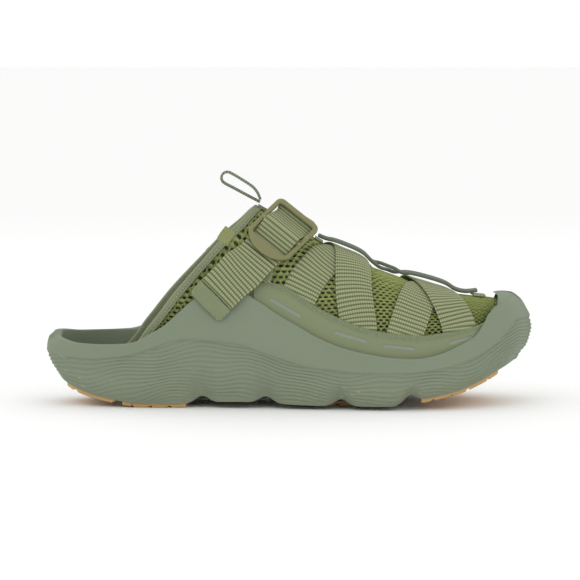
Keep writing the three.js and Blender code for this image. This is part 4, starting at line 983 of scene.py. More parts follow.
def tread(name, start, end, half_width, edges):
    """A rubber plate under the sole: its underside follows the rocker, cut by zigzag grooves between lugs,
    and its top is sunk a little into the foam. It is as wide as the sole's bottom edge, or has a set half
    width."""
    rows, cols = 150, 110
    share = np.linspace(start, end, rows)
    x = to_x(share)
    if half_width:
        low, high = np.full(rows, -half_width), np.full(rows, half_width)
    else:
        low = np.interp(x, edges[0][0], edges[0][1]) + TREAD_MARGIN
        high = np.interp(x, edges[1][0], edges[1][1]) - TREAD_MARGIN
    q = np.linspace(0, 1, cols)[None]
    y = low[:, None] * (1 - q) + high[:, None] * q
    gx = np.repeat(x[:, None], cols, 1)
    zigzag = 2.2 * np.abs(((y / 9) % 2) - 1)
    across = np.abs(((gx + zigzag - x[0] - 1.5) / LUG_PITCH) % 1 - 0.5) * LUG_PITCH
    lane = np.abs(np.abs(y) - LANE_FROM_MIDDLE)
    cut = np.maximum(1 - smooth((across - LUG_GAP * 0.4) / 0.7), 0.8 * (1 - smooth((lane - 0.7) / 0.7)))
    edge = np.minimum(np.minimum(q, 1 - q) * (high - low)[:, None], np.minimum(gx - x[0], x[-1] - gx))
    rounded = 0.7 * (1 - smooth(edge / 0.8))
    base = rocker(to_share(gx))
    under = np.stack([gx, y, base + LUG_DEPTH * cut * (1 - rounded) + rounded], -1)
    over = np.stack([gx, y, base + TREAD_PROUD + TREAD_SUNK], -1)
    return build(name + "_rubber", [sheet(under, over)], finish_named("gum"), "shoe", [name])


def slab(name, finish, node_name, low, high, offset, dish, steps=90, across=60):
    """A pad on the footboard: a flat underside, soft round edges, and a top that dips under the heel."""
    eased = 0.5 - 0.5 * np.cos(np.linspace(0, math.pi, steps))
    share = (LAST_HEEL + 0.0024) + (LAST_TOE - 0.03 - LAST_HEEL) * eased
    centre, floor, lateral, medial = section(share, offset(share))[:4]
    q = -np.cos(np.linspace(0, math.pi, across))[None]
    y = centre[:, None] + np.where(q < 0, q * lateral[:, None], q * medial[:, None])
    x = np.repeat(to_x(share)[:, None], across, 1)
    rim = np.clip(np.minimum(eased, 1 - eased)[:, None] * 40, 0, 1)
    round_edge = (1 - np.abs(q) ** 8) ** 0.5 * np.sqrt(1 - (1 - rim) ** 2)
    hollow = dish * (1 - np.abs(q) ** 2.5) * (1 - smooth((share - 0.2) / 0.4))[:, None]
    rise = low + (high - low) * (0.35 + 0.65 * round_edge) - hollow
    over = np.stack([x, y, floor[:, None] + rise], -1)
    under = np.stack([x, y, np.repeat(floor[:, None] + low, across, 1)], -1)
    part = sheet(under, over, y, x[:, :1])
    return build(name, [part], finish_named(finish), "shoe", [node_name])


def footbed_offset(share):
    """How far the footbed reaches past the foot's shape: to the foam at the heel, to the lining in front."""
    front = smooth((share - 0.05) / 0.065)
    return (FOAM_SEAT - 2 * GAP) * (1 - front) + (INSIDE_SEAT - 2 * GAP) * front


# ---------------------------------------------------------------- upper

ROUND_STEPS = 120
EDGE_ANGLE = 0.004


def lining():
    """The knit lining: two nested surfaces from the collar's edge to the toe, joined round their edges."""
    angle = np.linspace(EDGE_ANGLE, math.pi - EDGE_ANGLE, ROUND_STEPS)[:, None]
    start = collar_share(angle, 2.0)
    q = np.linspace(0, 1, 110)[None]
    share = start + (LAST_TOE - 0.025 - start) * q
    outer = on_upper(share, angle, LINING_SEAT)
    inner = on_upper(share, angle, LINING_SEAT - LINING_THICK)
    part = sheet(outer, inner, share * SOLE_LENGTH, angle * MEAN_RADIUS)
    return build("knit_lining", [part], finish_named("lining"), "shoe", ["upper_lining"])


def net(name, start, end, side, node_name):
    """The open net: a lattice of six-sided cells in staggered rows, wrapped round the upper. Each cell has
    a rim shared with its neighbours, a hole that slopes inwards, and an underside, all of real thickness."""
    long, row = details().hole_length * 1000, details().hole_row * 1000
    nudge = row * 0.16
    wide, short, tall = 0.35, 0.235, 0.465
    rows = int(math.pi * MEAN_RADIUS / row)
    cols = int((end - start) * SOLE_LENGTH / long) + 2
    j, i = np.meshgrid(np.arange(rows), np.arange(cols), indexing="ij")
    first = round(start * SOLE_LENGTH / long) * 2
    cell = np.stack([(2 * i + (j % 2) + first).ravel(), (2 * j + 1).ravel()], 1)
    centre = cell * (long / 2, row / 2)
    share, angle = centre[:, 0] / SOLE_LENGTH, centre[:, 1] / MEAN_RADIUS
    height = on_upper(share, angle)[:, 2]
    where = np.where(angle > RIDGE, LATERAL, MEDIAL)
    rim = np.where(where == LATERAL, lateral_rim(share), medial_rim(share))
    kept = (height > rim - 5) & (share > start) & (share < end) & (share > collar_share(angle, 2.6))
    kept &= (angle > 0.02) & (angle < math.pi - 0.02)
    if side:
        kept &= where == side
    cell = cell[kept]
    corner = np.array([(-1, -1), (0, -1), (1, -1), (1, 1), (0, 1), (-1, 1)])
    lift = np.where(corner[:, 0] == 0, 1, -1) * corner[:, 1] * nudge
    key = cell[:, None] + corner[None]
    flat = key * (long / 2, row / 2)
    flat[..., 1] += lift
    middle = (cell * (long / 2, row / 2))[:, None]
    hexagon = np.where(corner[:, :1] == 0, (0, tall), (wide, short)) * corner
    hole = middle + hexagon * (long, row)
    tuck = middle + (hole - middle) * 0.94

    def wrapped(points, offset):
        """Points of the flat lattice laid round the upper."""
        angle = np.clip(points[..., 1] / MEAN_RADIUS, EDGE_ANGLE, math.pi - EDGE_ANGLE)
        return on_upper(points[..., 0] / SOLE_LENGTH, angle, offset)

    count = len(cell)
    unique, index = np.unique(key.reshape(-1, 2), axis=0, return_inverse=True)
    index = index.reshape(count, 6)
    shared = np.zeros((len(unique), 2))
    shared[index.ravel()] = flat.reshape(-1, 2)
    n = len(unique)
    crest = flat * 0.62 + hole * 0.38
    verts = np.concatenate([
        wrapped(shared, -0.28), wrapped(crest.reshape(-1, 2), 0.0), wrapped(hole.reshape(-1, 2), -0.35),
        wrapped(tuck.reshape(-1, 2), -1.2), wrapped(shared, -1.45),
    ])
    own = np.arange(count * 6).reshape(count, 6)
    top, ring, mouth, throat = index, n + own, n + count * 6 + own, n + count * 12 + own
    back = n + count * 18 + index
    after = np.roll(np.arange(6), -1)

    def band(one, two):
        """The quads between two rings of corners."""
        return np.stack([one, one[:, after], two[:, after], two], -1).reshape(-1, 4)

    quads = [band(top, ring), band(ring, mouth), band(mouth, throat), band(throat, back)]
    edge = np.stack([top, top[:, after], back[:, after], back], -1).reshape(-1, 4)
    code = np.sort(edge[:, :2], axis=1)
    _, where_first, counts = np.unique(code, axis=0, return_inverse=True, return_counts=True)
    quads.append(edge[counts[where_first.ravel()] == 1][:, ::-1])
    quads = np.concatenate(quads)
    plane = np.concatenate([shared, crest.reshape(-1, 2), hole.reshape(-1, 2), tuck.reshape(-1, 2), shared])
    part = (verts, quads[:, ::-1], plane[quads[:, ::-1]])
    return build(name, [part], finish_named("net"), "shoe", [node_name], sharp=80)


def collar_frame(side=None):
    """Points along the collar's edge, the upper's normal, the direction forwards over it, and the run along
    it."""
    angle = np.linspace(EDGE_ANGLE, math.pi - EDGE_ANGLE, 420)
    share = collar_share(angle)
    width = 9
    share = np.convolve(np.pad(share, width, mode="edge"), np.ones(2 * width + 1) / (2 * width + 1), "valid")
    edge = on_upper(share, angle)
    normal = outward(share, angle)
    along = unit(np.gradient(edge, axis=0))
    ahead = unit(np.cross(along, normal))
    ahead *= np.sign(ahead[:, :1].mean())
    pick = slice(None) if side is None else (angle > RIDGE) == (side == LATERAL)
    return edge[pick], normal[pick], ahead[pick], run_of(edge)[pick]


BINDING_DEPTH = 4.6
BINDING_OUT, BINDING_IN = 0.55, -4.0


def binding(name, side, node_name):
    """The collar's binding: a padded band folded over the edge, with a raised cord along its outer side."""
    edge, normal, ahead, run = collar_frame(side)
    turn = np.linspace(-RIDGE, RIDGE, 13)
    half, middle = (BINDING_OUT - BINDING_IN) / 2, (BINDING_OUT + BINDING_IN) / 2
    fold = [(0.9 - 1.3 * math.cos(t), middle + half * math.sin(t)) for t in turn[::-1]]
    cord = [(4.3, 0.95), (3.9, 1.05), (3.4, 0.9), (3.1, 0.45)]
    outer = [(BINDING_DEPTH, 0.05), (BINDING_DEPTH, 0.35), *cord, (2.0, 0.65)]
    inner = [(2.0, BINDING_IN - 0.1), (BINDING_DEPTH, BINDING_IN), (BINDING_DEPTH, BINDING_IN + 0.4)]
    profile = np.array(outer + fold + inner)
    points = (edge[:, None] + ahead[:, None] * profile[None, :, :1] + normal[:, None] * profile[None, :, 1:])
    around = np.append(run_of(profile), run_of(profile)[-1] + 4)
    u = np.repeat(around[None], len(run), 0)
    part = fan(points, np.stack([u, np.repeat(run[:, None], u.shape[1], 1)], -1))
    return build(name, [part], finish_named("binding"), "shoe", [node_name])


STITCH_PITCH, STITCH_LENGTH, STITCH_RADIUS, STITCH_LIFT = 2.2, 1.5, 0.22, 0.12


def stitches(name, line, facing, body):
    """Thread stitches along a line: each is a short spindle, thicker in the middle, sunk a little."""
    even = resampled(np.concatenate([line, facing], 1), max(3, int(run_of(line)[-1] / STITCH_PITCH)))
    at, normal = even[:, :3], unit(even[:, 3:])
    along = unit(np.gradient(at, axis=0))
    side = unit(np.cross(normal, along))
    t = np.linspace(-1, 1, 6)
    ring = np.linspace(0, 2 * math.pi, 6, endpoint=False)
    fat = STITCH_RADIUS * np.sqrt(np.maximum(1 - t ** 2, 0.03))
    spindles = (at[:, None, None] + along[:, None, None] * (t * STITCH_LENGTH / 2)[None, :, None, None]
                + side[:, None, None] * (fat[:, None] * np.cos(ring))[None, ..., None]
                + normal[:, None, None] * (STITCH_LIFT + fat[:, None] * np.sin(ring))[None, ..., None])
    return build(name, [fan(spindle) for spindle in spindles], finish_named("thread"), body)


# ---------------------------------------------------------------- webbing

def rib_profile(run, pitch):
    """1 on a rib and 0 between two ribs: the root of the sine's size, so ribs are round and gaps narrow."""
    return np.abs(np.sin(math.pi * run / pitch)) ** 0.5


def ribbon(points, normals, width, thick, project, cells=22, ribs=None, tuck=0.45, side=None):
    """A band of webbing as rings round it: a flat underside, and a top whose edges thin out and whose ribs
    run across. Its width lies across the line and its normals, unless a side is given."""
    if side is None:
        side = unit(np.cross(normals, unit(np.gradient(points, axis=0))))
    shift = -np.cos(np.linspace(0, math.pi, cells + 1)) / 2 * width
    base = points[:, None] + side[:, None] * shift[None, :, None]
    run = run_of(points)
    rounded = 1 - np.abs(shift / width * 2) ** 12
    depth, pitch = (details().rib_depth * 1000, details().rib_pitch * 1000) if ribs is None else ribs
    selvedge = smooth((width / 2 - np.abs(shift) - 0.9) / 0.5)
    valley = (1 - rib_profile(run, pitch))[:, None] * selvedge[None] * depth
    up = thick * (tuck + (1 - tuck) * rounded)[None] - valley
    return sheet(project(base, np.zeros_like(up)), project(base, up), shift, run[:, None])


def draped_strap(nodes, width, seat, thick, steps=260, cells=22, ribs=None):
    """A strap that lies on the upper, lifted where its nodes say."""
    path = upper_path(nodes, steps)
    points = on_upper(path[:, 0], path[:, 1], seat + path[:, 2])
    normals = outward(path[:, 0], path[:, 1])
    lift = seat + path[:, 2][:, None]
    return ribbon(points, normals, width, thick, lambda base, up: drape(base, lift + up), cells, ribs)


FINE_RIBS, TAPE_RIBS = (0.2, 1.4), (0.22, 1.6)
STRAP_STEP = STRAP_THICK + 2 * GAP
STRAPS = {
    "rear_strap_under": [
        node(0.497, LATERAL, 54), node(0.53, LATERAL, 74), ridge(0.62),
        node(0.645, MEDIAL, 62), node(0.64, MEDIAL, 42),
    ],
    "rear_strap_over": [
        node(0.64, LATERAL, 42), node(0.637, LATERAL, 54), node(0.63, LATERAL, 67, STRAP_STEP),
        ridge(0.622, STRAP_STEP), node(0.575, MEDIAL, 80, STRAP_STEP), node(0.545, MEDIAL, 70),
        node(0.52, MEDIAL, 52),
    ],
    "front_strap_under": [
        node(0.724, LATERAL, 38), node(0.745, LATERAL, 56), ridge(0.79),
        node(0.832, MEDIAL, 52), node(0.845, MEDIAL, 40),
    ],
    "front_strap_over": [
        node(0.847, LATERAL, 39), node(0.842, LATERAL, 49), node(0.828, LATERAL, 58, STRAP_STEP),
        ridge(0.784, STRAP_STEP), node(0.752, MEDIAL, 62, STRAP_STEP), node(0.738, MEDIAL, 50),
        node(0.724, MEDIAL, 38),
    ],
}

film_top = curve([
    (0.427, 75.2), (0.483, 72), (0.546, 61), (0.593, 54.2), (0.666, 46.8), (0.715, 44.7), (0.766, 43.7),
    (0.81, 45), (0.848, 46.5), (0.873, 48), (0.894, 49.9),
])
FILM_FROM, FILM_TO, FILM_TUCK = 0.427, 0.9, 5
SLOTS = [((-11.1, 65.9), (5.7, 56.5)), ((27.7, 46.8), (45.6, 41.6)), ((57.3, 38.8), (74.5, 37.3)),
         ((97, 40.4), (109.3, 43.4))]
SLOT_HALF, SLOT_DEPTH = 0.95, 0.45


def slot_mask(points):
    """1 inside the film's oblong slots, which are what lies near a line from end to end of each, seen from
    the side."""
    x, z = points[..., 0], points[..., 2]
    mask = np.zeros_like(x)
    for (ax, az), (bx, bz) in SLOTS:
        dx, dz = bx - ax, bz - az
        t = np.clip(((x - ax) * dx + (z - az) * dz) / (dx * dx + dz * dz), 0, 1)
        distance = np.hypot(x - ax - t * dx, z - az - t * dz)
        mask = np.maximum(mask, 1 - smooth((distance - SLOT_HALF + 0.25) / 0.5))
    return mask


def film(name, side, node_name):
    """The fused film: a thin sheet from behind the foam's rim up to a soft edge, with sunk slots."""
    rim = lateral_rim if side == LATERAL else medial_rim
    share = np.linspace(FILM_FROM, FILM_TO, 360)[:, None]
    low = rim(share) - FILM_TUCK
    high = np.maximum(film_top(share), rim(share) + 1.5)
    q = np.linspace(0, 1, 52)[None]
    angle = angle_at(share, side, low + (high - low) * q)
    flat = on_upper(share, angle, FILM_SEAT + FILM_THICK)
    slots = slot_mask(flat)
    thin = smooth((1 - q) / 0.12)
    over = on_upper(share, angle, FILM_SEAT + FILM_THICK * (0.25 + 0.75 * thin) - SLOT_DEPTH * slots)
    under = on_upper(share, angle, np.full_like(angle, FILM_SEAT))
    fade = smooth((q - 0.62) / 0.38) * np.ones_like(angle)
    masks = {
        "slot": np.concatenate([slots, slots[:, ::-1]], 1).ravel(),
        "fade": np.concatenate([fade, fade[:, ::-1]], 1).ravel(),
    }
    return build(name, [sheet(under, over)], finish_named("film"), "shoe", [node_name], masks=masks)


# ---------------------------------------------------------------- instep strap and buckle

BUCKLE_AT = node(0.483, LATERAL, 99)
STRAP_HEADING = node(0.447, LATERAL, 88)
BUCKLE_W = outward(np.float64(BUCKLE_AT[0]), BUCKLE_AT[1])
BUCKLE_ORIGIN = on_upper(BUCKLE_AT[0], BUCKLE_AT[1], BUCKLE_SEAT)
_heading = on_upper(STRAP_HEADING[0], STRAP_HEADING[1], BUCKLE_SEAT) - BUCKLE_ORIGIN
BUCKLE_V = unit(_heading - BUCKLE_W * (_heading @ BUCKLE_W))
BUCKLE_U = unit(np.cross(BUCKLE_V, BUCKLE_W))
HALF_THICK = BUCKLE_THICK / 2
LOOP_INNER = BUCKLE_BAR_RADIUS + GAP
LOOP_OUTER = LOOP_INNER + ANCHOR_THICK
BIGHT_RADIUS = LOOP_OUTER + GAP + INSTEP_STRAP_THICK / 2
BIGHT_LOW = -(HALF_THICK + GAP + INSTEP_STRAP_THICK / 2)
BIGHT_LEAN = 0.55
ANCHOR_LOW = BIGHT_LOW - INSTEP_STRAP_THICK / 2 - GAP - ANCHOR_THICK / 2
LIP_EDGE = BUCKLE_LOW_BAR[1] + BUCKLE_LIP
ANCHOR_END = LIP_EDGE + 1
BUCKLE_BLEND = 26
BUCKLE_CORNER, WINDOW_CORNER = 4, 1.6
TAIL_CLEAR = FOAM_SEAT + FOAM_RIM_WALL + 0.8
STRAP_LEVEL = BIGHT_LOW - INSTEP_STRAP_THICK / 2
TIP_FROM, TIP_TO = 0.352, 0.328
TIP_ARCS = (4.5, 2.4)
LABEL_SEAT, LABEL_WIDTH = 0.7, 9.6
TAIL_TIP_HEIGHT, TAIL_CLIMB = 53, 255


def local(uvw):
    """Points of the buckle's own frame: u across the strap, v along it to the tail, w away from the foot."""
    return BUCKLE_ORIGIN + uvw[..., :1] * BUCKLE_U + uvw[..., 1:2] * BUCKLE_V + uvw[..., 2:] * BUCKLE_W


def arc(centre, radius, start, end, steps):
    """Points of a circle's arc between two angles."""
    turn = np.linspace(start, end, steps)
    return np.stack([centre[0] + radius * np.cos(turn), centre[1] + radius * np.sin(turn)], 1)


def bow(a, control, b, steps):
    """Points of a curve from a to b that leaves and arrives towards a control point."""
    t = np.linspace(0, 1, steps)[:, None]
    return (1 - t) ** 2 * np.array(a) + 2 * t * (1 - t) * np.array(control) + t * t * np.array(b)


def buckle():
    """The moulded buckle: a rounded section carried round the frame, from the window's edge to the outline,
    whose lower side widens to a grip, and a round bar across its middle."""
    wide = INSTEP_STRAP_WIDTH / 2 + 0.6 + BUCKLE_RAIL
    inner = wide - BUCKLE_RAIL
    top, low = BUCKLE_TOP_BAR[0], BUCKLE_LOW_BAR[1]
    lip = low + BUCKLE_LIP
    c, w = BUCKLE_CORNER, WINDOW_CORNER
    quarter = math.pi / 2
    outline = np.concatenate([
        np.linspace((wide - c, top), (-wide + c, top), 24, endpoint=False),
        arc((-wide + c, top + c), c, -quarter, -2 * quarter, 12)[:-1],
        np.linspace((-wide, top + c), (-wide, low - c), 30, endpoint=False),
        bow((-wide, low - c), (-wide * 0.7, lip), (0, lip), 30)[:-1],
        bow((0, lip), (wide * 0.7, lip), (wide, low - c), 30)[:-1],
        np.linspace((wide, low - c), (wide, top + c), 30, endpoint=False),
        arc((wide - c, top + c), c, 0, -quarter, 12)[:-1],
    ])
    up, down = BUCKLE_TOP_BAR[1], BUCKLE_LOW_BAR[0]
    window = np.concatenate([
        np.linspace((inner - w, up), (-inner + w, up), 24, endpoint=False),
        arc((-inner + w, up + w), w, -quarter, -2 * quarter, 12)[:-1],
        np.linspace((-inner, up + w), (-inner, down - w), 30, endpoint=False),
        arc((-inner + w, down - w), w, 2 * quarter, quarter, 12)[:-1],
        np.linspace((-inner + w, down), (0, down), 18, endpoint=False),
        np.linspace((0, down), (inner - w, down), 18, endpoint=False),
        arc((inner - w, down - w), w, quarter, 0, 12)[:-1],
        np.linspace((inner, down - w), (inner, up + w), 30, endpoint=False),
        arc((inner - w, up + w), w, 0, -quarter, 12)[:-1],
    ])
    count = len(outline)
    pace = np.linspace(0, 1, len(window), endpoint=False)
    match = np.linspace(0, 1, count, endpoint=False)
    window = np.stack([np.interp(match, pace, window[:, k]) for k in range(2)], 1)
    turn = np.linspace(0, 2 * math.pi, 20, endpoint=False)
    level = np.sign(np.sin(turn)) * np.abs(np.sin(turn)) ** 0.6 * HALF_THICK
    reach = np.sign(np.cos(turn)) * np.abs(np.cos(turn)) ** 0.6
    middle, half = (outline + window) / 2, (outline - window) / 2
    plan = middle[:, None] + half[:, None] * reach[None, :, None]
    scoop = 0.45 * smooth((plan[..., 1] - low + 1) / 3) * (level > 0.4 * HALF_THICK)
    height = np.broadcast_to(level[None], plan.shape[:2]) - scoop * (1 - np.abs(reach)[None] ** 4)
    points = local(np.concatenate([plan, height[..., None]], -1))
    ring = grid(np.concatenate([points, points[:1]]), True)
    ends = np.linspace(-1, 1, 24)
    spin = np.linspace(0, 2 * math.pi, 20, endpoint=False)
    bar = np.stack(np.broadcast_arrays(
        (ends * (inner + BUCKLE_RAIL / 2))[:, None],
        BUCKLE_BAR_RADIUS * np.cos(spin)[None], BUCKLE_BAR_RADIUS * np.sin(spin)[None]), -1)
    return build("slide_buckle", [ring, fan(local(bar))], finish_named("buckle"), "buckle",
                 ["buckle"], 1e-6)


def buckle_band(line, thick, width, steps=90, cells=18, ribs=None):
    """A strap that runs through the buckle along a line of (v, w) points, as wide as it says across u."""
    path = smooth_line(line, steps)
    spine = local(np.concatenate([np.zeros((len(path), 1)), path], 1))
    along = unit(np.gradient(spine, axis=0))
    normals = unit(np.cross(along, np.broadcast_to(BUCKLE_U, along.shape)))
    normals *= np.sign(normals[len(normals) // 2] @ BUCKLE_W)
    lower = spine - normals * thick / 2
    return ribbon(lower, normals, width, thick, lambda base, up: base + normals[:, None] * up[..., None],
                  cells, ribs)


def bight_line():
    """The strap's way through the buckle: up from under the top bar, round the anchor's sleeve on the centre
    bar and down to the lip, in straight runs that lean by a set angle and an arc between them."""
    c, s = math.cos(BIGHT_LEAN), math.sin(BIGHT_LEAN)
    run = (BIGHT_RADIUS * c - BIGHT_LOW) / math.tan(BIGHT_LEAN)
    over = [(BIGHT_RADIUS * math.sin(t), BIGHT_RADIUS * math.cos(t))
            for t in np.linspace(-1, 1, 5) * BIGHT_LEAN]
    return [(BUCKLE_TOP_BAR[0], BIGHT_LOW), (-BIGHT_RADIUS * s - run, BIGHT_LOW), *over,
            (BIGHT_RADIUS * s + run, BIGHT_LOW), (LIP_EDGE, BIGHT_LOW)]


def anchor_loop():
    """The anchor's end: a sleeve round the centre bar and a neck that runs down behind the strap."""
    turn = np.linspace(0, 2 * math.pi, 40, endpoint=False)
    rings = [np.stack([0 * turn, r * np.cos(turn), r * np.sin(turn)], 1) for r in (LOOP_OUTER, LOOP_INNER)]
    half = INSTEP_STRAP_WIDTH / 2
    corners = [(0, -half), (0, half), (1, half), (1, -half), (0, -half)]
    sleeve = grid(local(np.stack([rings[which] + (u, 0, 0) for which, u in corners])), True)
    neck = buckle_band([(1, -LOOP_INNER - ANCHOR_THICK / 2), (5, ANCHOR_LOW + 0.4), (10, ANCHOR_LOW),
                        (ANCHOR_END, ANCHOR_LOW)], ANCHOR_THICK, INSTEP_STRAP_WIDTH, 50, ribs=FINE_RIBS)
    return build("anchor_sleeve", [sleeve, neck], finish_named("anchor"), "shoe", ["anchor_loop"])


def strap_from_buckle(start, nodes, width, thick, steps, ribs=None):
    """A strap that leaves the buckle flat and then turns, over a set length, to follow the upper."""
    v, w = start
    first = local(np.array([0.0, v, w]))
    share = float(to_share(first[0]))
    centre, floor = section(share)[:2]
    angle = math.atan2(first[2] - floor, first[1] - centre)
    reach = math.hypot(first[1] - centre, first[2] - floor)
    lifts = np.linspace(0, 30, 4000)
    ray = on_upper(np.full(4000, share), angle, lifts)
    lift = float(np.interp(reach, np.hypot(ray[:, 1] - centre, ray[:, 2] - floor), lifts))
    path = upper_path([(share, angle, lift), *nodes], steps)
    points = on_upper(path[:, 0], path[:, 1], path[:, 2])
    points[0] = first
    weight = smooth(np.linalg.norm(points - first, axis=1) / BUCKLE_BLEND)[:, None]
    normals = unit(outward(path[:, 0], path[:, 1]) * weight + BUCKLE_W * (1 - weight))
    along = unit(np.gradient(points, axis=0))
    exact = -BUCKLE_U * np.sign(v)
    side = unit(unit(np.cross(normals, along)) * weight + exact * (1 - weight))
    lift_row = path[:, 2][:, None]

    def project(base, up):
        """Raises points off the buckle's plane near it, and off the upper further away."""
        flat = base + normals[:, None] * up[..., None]
        return flat * (1 - weight[:, None]) + drape(base, lift_row + up) * weight[:, None]

    return ribbon(points, normals, width, thick, project, 24, ribs, side=side)


def on_tail(share):
    """A route's point on the tail, whose height climbs evenly from its tip towards the buckle."""
    return node(share, LATERAL, TAIL_TIP_HEIGHT + (share - TIP_TO) * TAIL_CLIMB, TAIL_CLEAR + 0.4)


def strap_tip():
    """The tail's fused tip: smooth, with rounded corners, a raised rim and three nested arcs round a point
    just past its end."""
    path = upper_path([on_tail(TIP_FROM - 2.4 * GAP / SOLE_LENGTH), on_tail((TIP_FROM + TIP_TO) / 2),
                       on_tail(TIP_TO)], 60)
    points = on_upper(path[:, 0], path[:, 1], path[:, 2])
    normals = outward(path[:, 0], path[:, 1])
    along = unit(np.gradient(points, axis=0))
    side = unit(np.cross(normals, along))
    run = run_of(points)
    total, corner = run[-1], 3.0
    past = np.maximum(run - (total - corner), 0)
    half = INSTEP_STRAP_WIDTH / 2 - (corner - np.sqrt(np.maximum(corner ** 2 - past ** 2, 0))) * 0.95
    s = -np.cos(np.linspace(0, math.pi, 49))
    shift = half[:, None] * s[None]
    base = points[:, None] + side[:, None] * shift[..., None]
    from_centre = np.hypot(shift, (run - total - 1)[:, None])
    first, pitch = TIP_ARCS
    arcs = 0.42 * np.exp(-((((from_centre - first) / pitch) % 1 - 0.5) / 0.2) ** 2)
    arcs *= smooth((from_centre - first) / 0.5) * smooth((first + 3 * pitch - from_centre) / 0.5)
    edge = np.minimum(half[:, None] - np.abs(shift), (total - run)[:, None])
    up = INSTEP_STRAP_THICK * (0.4 + 0.6 * smooth(edge / 0.7)) - 0.25 + arcs
    up += 0.25 * (1 - smooth((edge - 1.2) / 0.5))
    lift = path[:, 2][:, None]
    part = sheet(drape(base, lift + 0 * up), drape(base, lift + up))
    return build("fused_tip", [part], finish_named("tip"), "strap_end", ["strap_tip"])


def side_label():
    """The folded side tab: a narrow tape with a raised ring and dot in the middle."""
    path = upper_path([node(0.361, LATERAL, 105), node(0.383, LATERAL, 100.3)], 60)
    points = on_upper(path[:, 0], path[:, 1], LABEL_SEAT)
    normals = outward(path[:, 0], path[:, 1])
    along = unit(np.gradient(points, axis=0))
    side = unit(np.cross(normals, along))
    shift = -np.cos(np.linspace(0, math.pi, 49)) / 2 * LABEL_WIDTH
    run = run_of(points)
    base = points[:, None] + side[:, None] * shift[None, :, None]
    radius = np.hypot(shift[None], (run - run[-1] * 0.5)[:, None])
    mark = 0.36 * (np.exp(-((radius - 2.4) / 0.4) ** 2) + np.exp(-(radius / 0.8) ** 4))
    edge = np.minimum(LABEL_WIDTH / 2 - np.abs(shift)[None], np.minimum(run, run[-1] - run)[:, None])
    up = 0.35 + 0.45 * smooth(edge / 0.6) + mark
    part = sheet(drape(base, LABEL_SEAT + 0 * up), drape(base, LABEL_SEAT + up), shift, run[:, None])
    return build("side_label", [part], finish_named("label"), "shoe", ["label_tab"])


# ---------------------------------------------------------------- pull loop and lace

BINDING_PROUD = 0.4
LOOP_CLEAR = BINDING_PROUD + LOOP_TAPE_THICK + 2 * GAP


def pull_loop():
    """The pull loop: tape carried along its own line, out from the collar, round the end and back."""
    foot = on_upper(LOOP_FOOT, RIDGE)
    back = unit(foot - on_upper(LOOP_FOOT + 0.04, RIDGE))
    rise = unit(np.cross((0.0, 1.0, 0.0), back))
    outer = LOOP_OPEN / 2 + LOOP_TAPE_THICK
    middle, end = LOOP_CLEAR + outer, LOOP_LENGTH - outer
    half = LOOP_TAPE_THICK / 2
    low, high = LOOP_CLEAR + half, middle + outer - half
    bend = arc((end, middle), outer - half, -math.pi / 2, math.pi / 2, 9)
    line = np.concatenate([[(0, low), (8, low - 0.05), (16, low)], bend, [(16, high - 0.3), (8, high - 1.2),
                           (4, high - 2.9), (0.4, low + LOOP_TAPE_THICK)]])
    path = smooth_line(line, 220)
    spine = foot + path[:, :1] * back + path[:, 1:] * rise
    along = unit(np.gradient(spine, axis=0))
    across = np.broadcast_to((0.0, 1.0, 0.0), along.shape)
    normals = unit(np.cross(along, across))
    lower = spine - normals * half
    part = ribbon(lower, normals, LOOP_TAPE_WIDTH, LOOP_TAPE_THICK,
                  lambda base, up: base + normals[:, None] * up[..., None], 14, TAPE_RIBS, 0.3)
    return build("pull_tape", [part], finish_named("tape"), "pull_loop", ["pull_loop"])


LACE_LOW = STRAP_SEAT + STRAP_THICK + LACE_RADIUS + GAP
LACE_HIGH = LACE_LOW + STRAP_STEP + 1.1
LACE_REST = LACE_RADIUS + STRAP_SEAT
LACE_SPREAD = 5
LACE_ANCHORS = [("lace_anchor_rear", 0.552, 0.568, 12), ("lace_anchor_toe", 0.875, 0.9, 14)]


def lace(name, side, crossing, node_name):
    """One strand of elastic cord: a round section carried along its route over the vamp."""
    route = [
        (0.559, 3, LACE_LOW + 0.3), (0.574, 4, LACE_LOW + 1.2), (0.594, LACE_SPREAD, LACE_HIGH),
        (0.648, LACE_SPREAD, LACE_HIGH), (0.67, 4, LACE_LOW + 0.5), (0.685, 2.2, crossing),
        (0.7, 0, crossing), (0.715, -2.2, crossing), (0.73, -4, LACE_LOW + 0.6),
        (0.75, -LACE_SPREAD, LACE_HIGH),
        (0.818, -LACE_SPREAD, LACE_HIGH), (0.84, -4.5, LACE_LOW), (0.86, -3.5, LACE_REST + 0.8),
        (0.885, -3, LACE_LOW + 0.6),
    ]
    share, shift, offset = np.array(route, float).T
    points = on_upper(share, RIDGE - side * shift / section(share)[4], offset)
    line = smooth_line(points, 200)
    along = unit(np.gradient(line, axis=0))
    one = unit(np.cross(along, (0.0, 1.0, 0.0)))
    two = np.cross(along, one)
    turn = np.linspace(0, 2 * math.pi, 14, endpoint=False)
    rings = line[:, None] + LACE_RADIUS * (one[:, None] * np.cos(turn)[None, :, None]
                                           + two[:, None] * np.sin(turn)[None, :, None])
    wide = np.append(turn, 2 * math.pi) * LACE_RADIUS
    uv = np.stack(np.broadcast_arrays(wide[None], run_of(line)[:, None]), -1)
    return build(name, [fan(rings, uv)], finish_named("lace"), "shoe", [node_name])


# ---------------------------------------------------------------- operators

class SANDAL_OT_finishes(bpy.types.Operator):
    """Build the node groups that the finishes share."""

    bl_idname = "sandal.finishes"
    bl_label = "Finishes"
    bl_options = {"REGISTER", "UNDO"}

    def execute(self, context):
        mottle_group()
        weave_group()
        wear_and_shade_group()
        return {"FINISHED"}


